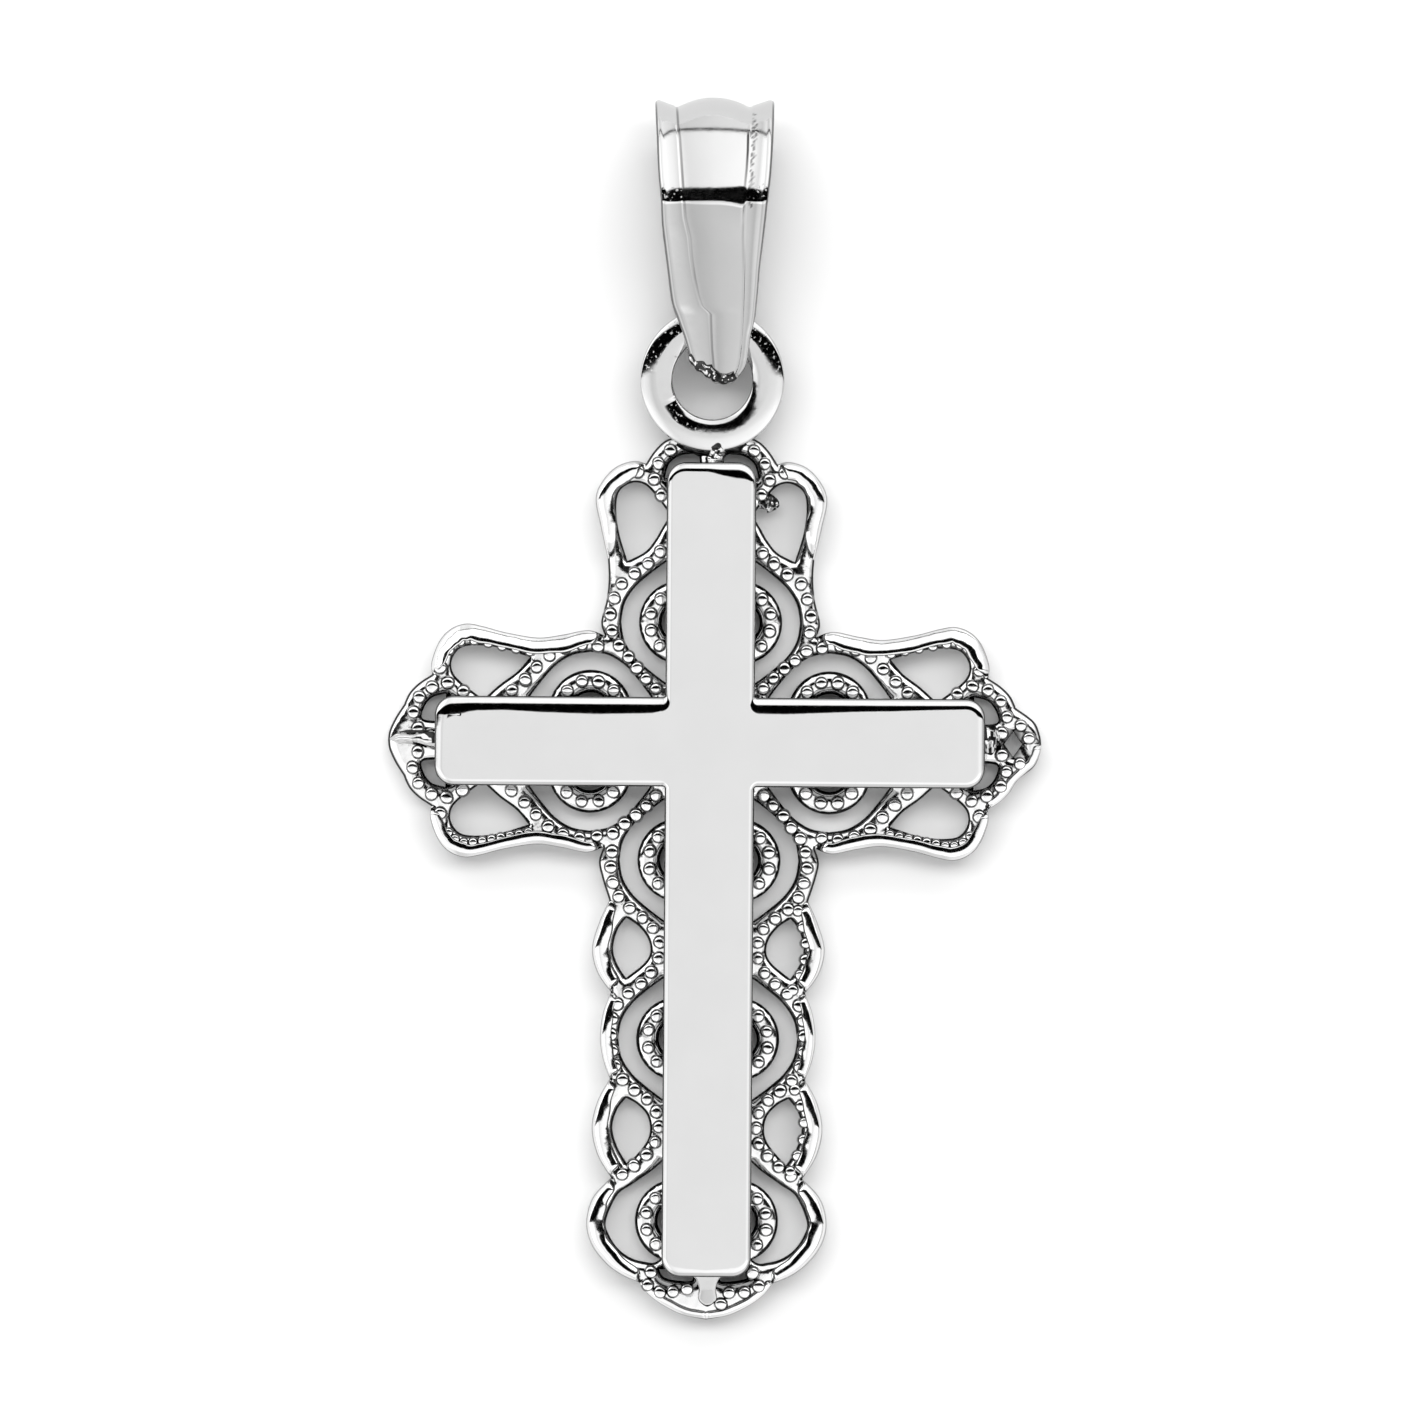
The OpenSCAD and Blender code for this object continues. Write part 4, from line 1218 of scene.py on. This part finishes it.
BAIL_RIGHT_PAINTED_SHADE = [
    (0, 1), (2.2, 1), (2.6, 0.9), (3.5, 0.8), (4.1, 0.5), (4.5, 0.3), (4.8, 0.05), (5.2, 0), (5.3, 1)
]
# Depths below the crown: of the creases, of the lips, and of the hollow between them
BAIL_CREASE_DEPTH = [(0, 0.02), (1.5, 0.03), (3.2, 0.045), (5.4, 0.05), (5.75, 0.12), (5.96, 0.19)]
BAIL_LIP_DEPTH = [(0, 0.01), (3.2, 0.02), (5.4, 0.03), (5.96, 0.05)]
BAIL_HOLLOW = [(0, 0.005), (1.5, 0.015), (3.2, 0.028), (5.4, 0.028), (5.7, 0.02), (5.96, 0)]
BAIL_EDGE_R = 0.07
BAIL_LIP_AT = 0.2
BAIL_CREASE_W = 0.035
BAIL_CREASE_CUT = 0.004
BAIL_SIDE_SHARES = [0, 0.02, 0.045, 0.07, 0.1, 0.14, 0.2, 0.28, 0.36, 0.44, 0.52, 0.6, 0.68, 0.76, 0.84, 0.9]
# Painted shade along the edges of the band, by the share of the way to the crease
BAIL_EDGE_PAINTED_SHADE = [(0, 0.2), (0.06, 0.25), (0.1, 1)]
BAIL_EDGE_COLUMNS = 3
BAIL_CREASE_COLUMNS = 3
BAIL_CREASE_PULL = (0.7, 0.3)
BAIL_MIDDLE_STEPS = 22
BAIL_INSIDE_STEPS = 12
BAIL_INSIDE_HALF = 0.985
BAIL_INSIDE_EDGE = 0.03
# How far the right of the middle panel is moved, by the distance up, which widens the dark band there
BAIL_PULL = [(3.2, 0), (3.75, -0.11), (4.04, 0.05), (4.4, 0)]
# Rough stretches by the distance up, the speckled columns past the right crease, and the painted shade
# speckled on them
BAIL_BAND_ROUGH = (3.7, 4.12)
BAIL_CREASE_ROUGH = (3.6, 5.7)
BAIL_SPECKLED = (1, 2, 3)
SPECKLE_PAINTED_SHADE = (0.2, 0.6, 1, 1)
# How far a facing has to rise to count as the front
BAIL_FRONT = -0.01
BAIL_SEED = 5
# Solder at the tip, as in the lumps, with rows of (across, up, height, radius, height share)
TIP_SOLDER = ("tip_solder", 7, 0.07, SOLDER_AND_PAINTED_SHADE, 0.7, 8)
TIP_SOLDER_SIDES = 24
TIP_SOLDER_SPINE = [
    (-0.46, 0.62, 1.47, 0.05, 1), (-0.36, 0.47, 1.42, 0.085, 1), (-0.15, 0.31, 1.36, 0.1, 1),
    (0.05, 0.19, 1.27, 0.1, 1), (0.2, 0.1, 1.17, 0.09, 1), (0.34, 0.11, 1.17, 0.08, 1),
    (0.47, 0.19, 1.24, 0.04, 1)
]


def smooth_table(rows, x):
    """A value from a table, with a smooth curve through its rows."""
    if x <= rows[0][0]:
        return rows[0][1]
    for i, (a, b) in enumerate(zip(rows, rows[1:])):
        if x <= b[0]:
            before = rows[max(i - 1, 0)]
            after = rows[min(i + 2, len(rows) - 1)]
            span = b[0] - a[0]
            t = (x - a[0]) / span
            m0 = (b[1] - before[1]) / (b[0] - before[0]) * span
            m1 = (after[1] - a[1]) / (after[0] - a[0]) * span
            rise = b[1] - a[1]
            return a[1] + m0 * t + (3 * rise - 2 * m0 - m1) * t * t + (m0 + m1 - 2 * rise) * t ** 3
    return rows[-1][1]


def bail_stations():
    """Side view of the outside: (up, height, facing angle in degrees), round the whole loop."""
    stations = []
    for k in range(BAIL_TURN_STEPS + 1):
        face = 270 - k * (180 - BAIL_SLOPE) / BAIL_TURN_STEPS
        up, height = polar(BAIL_TURN_R, BAIL_TURN_R, BAIL_TURN_R, face)
        stations.append((up, height, face))
    stations.pop()
    count = 0
    while up < BAIL_TILTS[-1][0]:
        tilt = smooth_table(BAIL_TILTS, up)
        if count % BAIL_STATION_STEPS == 0:
            stations.append((up, height, 90 - tilt))
        step = BAIL_STEP * math.cos(math.radians(tilt))
        height -= math.tan(math.radians(smooth_table(BAIL_TILTS, up + step / 2))) * step
        up += step
        count += 1
    for k in range(BAIL_BACK_STEPS + 1):
        face = -90 * k / BAIL_BACK_STEPS
        cos, sin = polar(0, 0, 1, face)
        scale = math.hypot(BAIL_BACK_ARCH * cos, height * sin)
        stations.append((BAIL_REACH - BAIL_BACK_ARCH + BAIL_BACK_ARCH ** 2 * cos / scale,
                         height + height ** 2 * sin / scale, face))
    start = BAIL_REACH - BAIL_BACK_ARCH
    for k in range(1, BAIL_UNDER_STEPS):
        stations.append((start + (BAIL_TURN_R - start) * k / BAIL_UNDER_STEPS, 0, -90))
    return stations


def bail_side(up, share):
    """Depth of a side panel below the crown, by the share of the way from the band's edge to the crease."""
    lip = table(BAIL_LIP_DEPTH, up)
    if share < BAIL_LIP_AT:
        beyond = 1 - share / BAIL_LIP_AT
        return lip + BAIL_EDGE_R * (1 - math.sqrt(max(0, 1 - beyond * beyond)))
    t = (share - BAIL_LIP_AT) / (1 - BAIL_LIP_AT)
    return lip + (table(BAIL_CREASE_DEPTH, up) - lip) * t + table(BAIL_HOLLOW, up) * 4 * t * (1 - t)


def bail_panel(up, edge, crease):
    """Rows of a side panel, from the band's edge to the crease."""
    return [(edge + (crease - edge) * share, bail_side(up, share), table(BAIL_EDGE_PAINTED_SHADE, share), 0)
            for share in BAIL_SIDE_SHARES]


def bail_section(up):
    """Rows of (across, depth, painted shade, share of the pull) for the face from the left, then for the
    inside.
    """
    half = smooth_table(BAIL_HALF_WIDTHS, up)
    middle = table(BAIL_MIDDLES, up)
    left, right = table(BAIL_LEFT_CREASE, up), table(BAIL_RIGHT_CREASE, up)
    left_shade, right_shade = table(BAIL_LEFT_PAINTED_SHADE, up), table(BAIL_RIGHT_PAINTED_SHADE, up)
    deep = table(BAIL_CREASE_DEPTH, up)
    near = min(BAIL_CREASE_W, (right - left) / 6)
    cut = deep + BAIL_CREASE_CUT
    rows = bail_panel(up, middle - half, left)
    rows += [(left - near, deep, 1, 0), (left - near / 3, cut, left_shade, 0),
             (left + near / 3, cut, left_shade, 0)]
    for k in range(BAIL_MIDDLE_STEPS + 1):
        t = -1 + 2 * k / BAIL_MIDDLE_STEPS
        across = left + near + (right - left - 2 * near) * (t + 1) / 2
        rows.append((across, deep * t * t, 1, max(0, t) ** 2))
    for step, pull in zip((-1, 1), BAIL_CREASE_PULL):
        rows.append((right + near * step / 3, cut, right_shade, pull))
    rows.append((right + near, deep, 1, 0))
    rows += reversed(bail_panel(up, middle + half, right))
    for k in range(BAIL_INSIDE_STEPS + 1):
        share = 1 - 2 * k / BAIL_INSIDE_STEPS
        edge = BAIL_INSIDE_EDGE if abs(share) == 1 else 0
        rows.append((middle + share * half * BAIL_INSIDE_HALF, BAIL_T - edge, 1, 0))
    return rows


def bail_place(across, up, height):
    """A place on the bail, from its own axis at the tip to the crossing of the bars."""
    return (across * math.cos(BAIL_TURN) - up * math.sin(BAIL_TURN),
            BAIL_TIP_Y + across * math.sin(BAIL_TURN) + up * math.cos(BAIL_TURN), height)


def make_bail():
    draw = random.Random(BAIL_SEED)
    shape = Shape()
    rings = []
    indices = []
    side = len(BAIL_SIDE_SHARES)
    right = side + BAIL_MIDDLE_STEPS + 1 + 2 * BAIL_CREASE_COLUMNS
    for up, height, face in bail_stations():
        out, rise = polar(0, 0, 1, face)
        front = rise > BAIL_FRONT
        section = bail_section(up)
        lift = table(BAIL_PULL, up) if front else 0
        rings.append([bail_place(across, up - out * depth + lift * pull, height - rise * depth)
                      for across, depth, _, pull in section])
        in_crease = front and BAIL_CREASE_ROUGH[0] < up < BAIL_CREASE_ROUGH[1]
        in_band = front and BAIL_BAND_ROUGH[0] < up < BAIL_BAND_ROUGH[1]
        # Painted shade: along the creases and band edges, and speckled past the right crease
        for column, (_, _, shade_value, _) in enumerate(section):
            speckled = in_crease and column - right in BAIL_SPECKLED
            shape.painted_shade.append(draw.choice(SPECKLE_PAINTED_SHADE) if speckled else shade_value)
            sided = BAIL_EDGE_COLUMNS <= column < side or 0 <= column - right < side - BAIL_EDGE_COLUMNS
            indices.append(1 if speckled or (in_band and sided) else 0)
    shape.rings(rings, closed_along=True)
    piece("bail_band", shape, [BAIL_SILVER, PITTED_SILVER], indices, None, BAIL)
    spine = [bail_place(*row[:3]) + row[3:] for row in TIP_SOLDER_SPINE]
    make_lump(*TIP_SOLDER, spine, TIP_SOLDER_SIDES, BAIL)


make_camera()
make_world()
make_lights()
make_floors()
make_lace_plate()
make_rims()
make_grains()
make_plain_cross()
make_foot_tab()
for lump in LUMPS:
    make_lump(*lump)
make_ring()
make_bail()
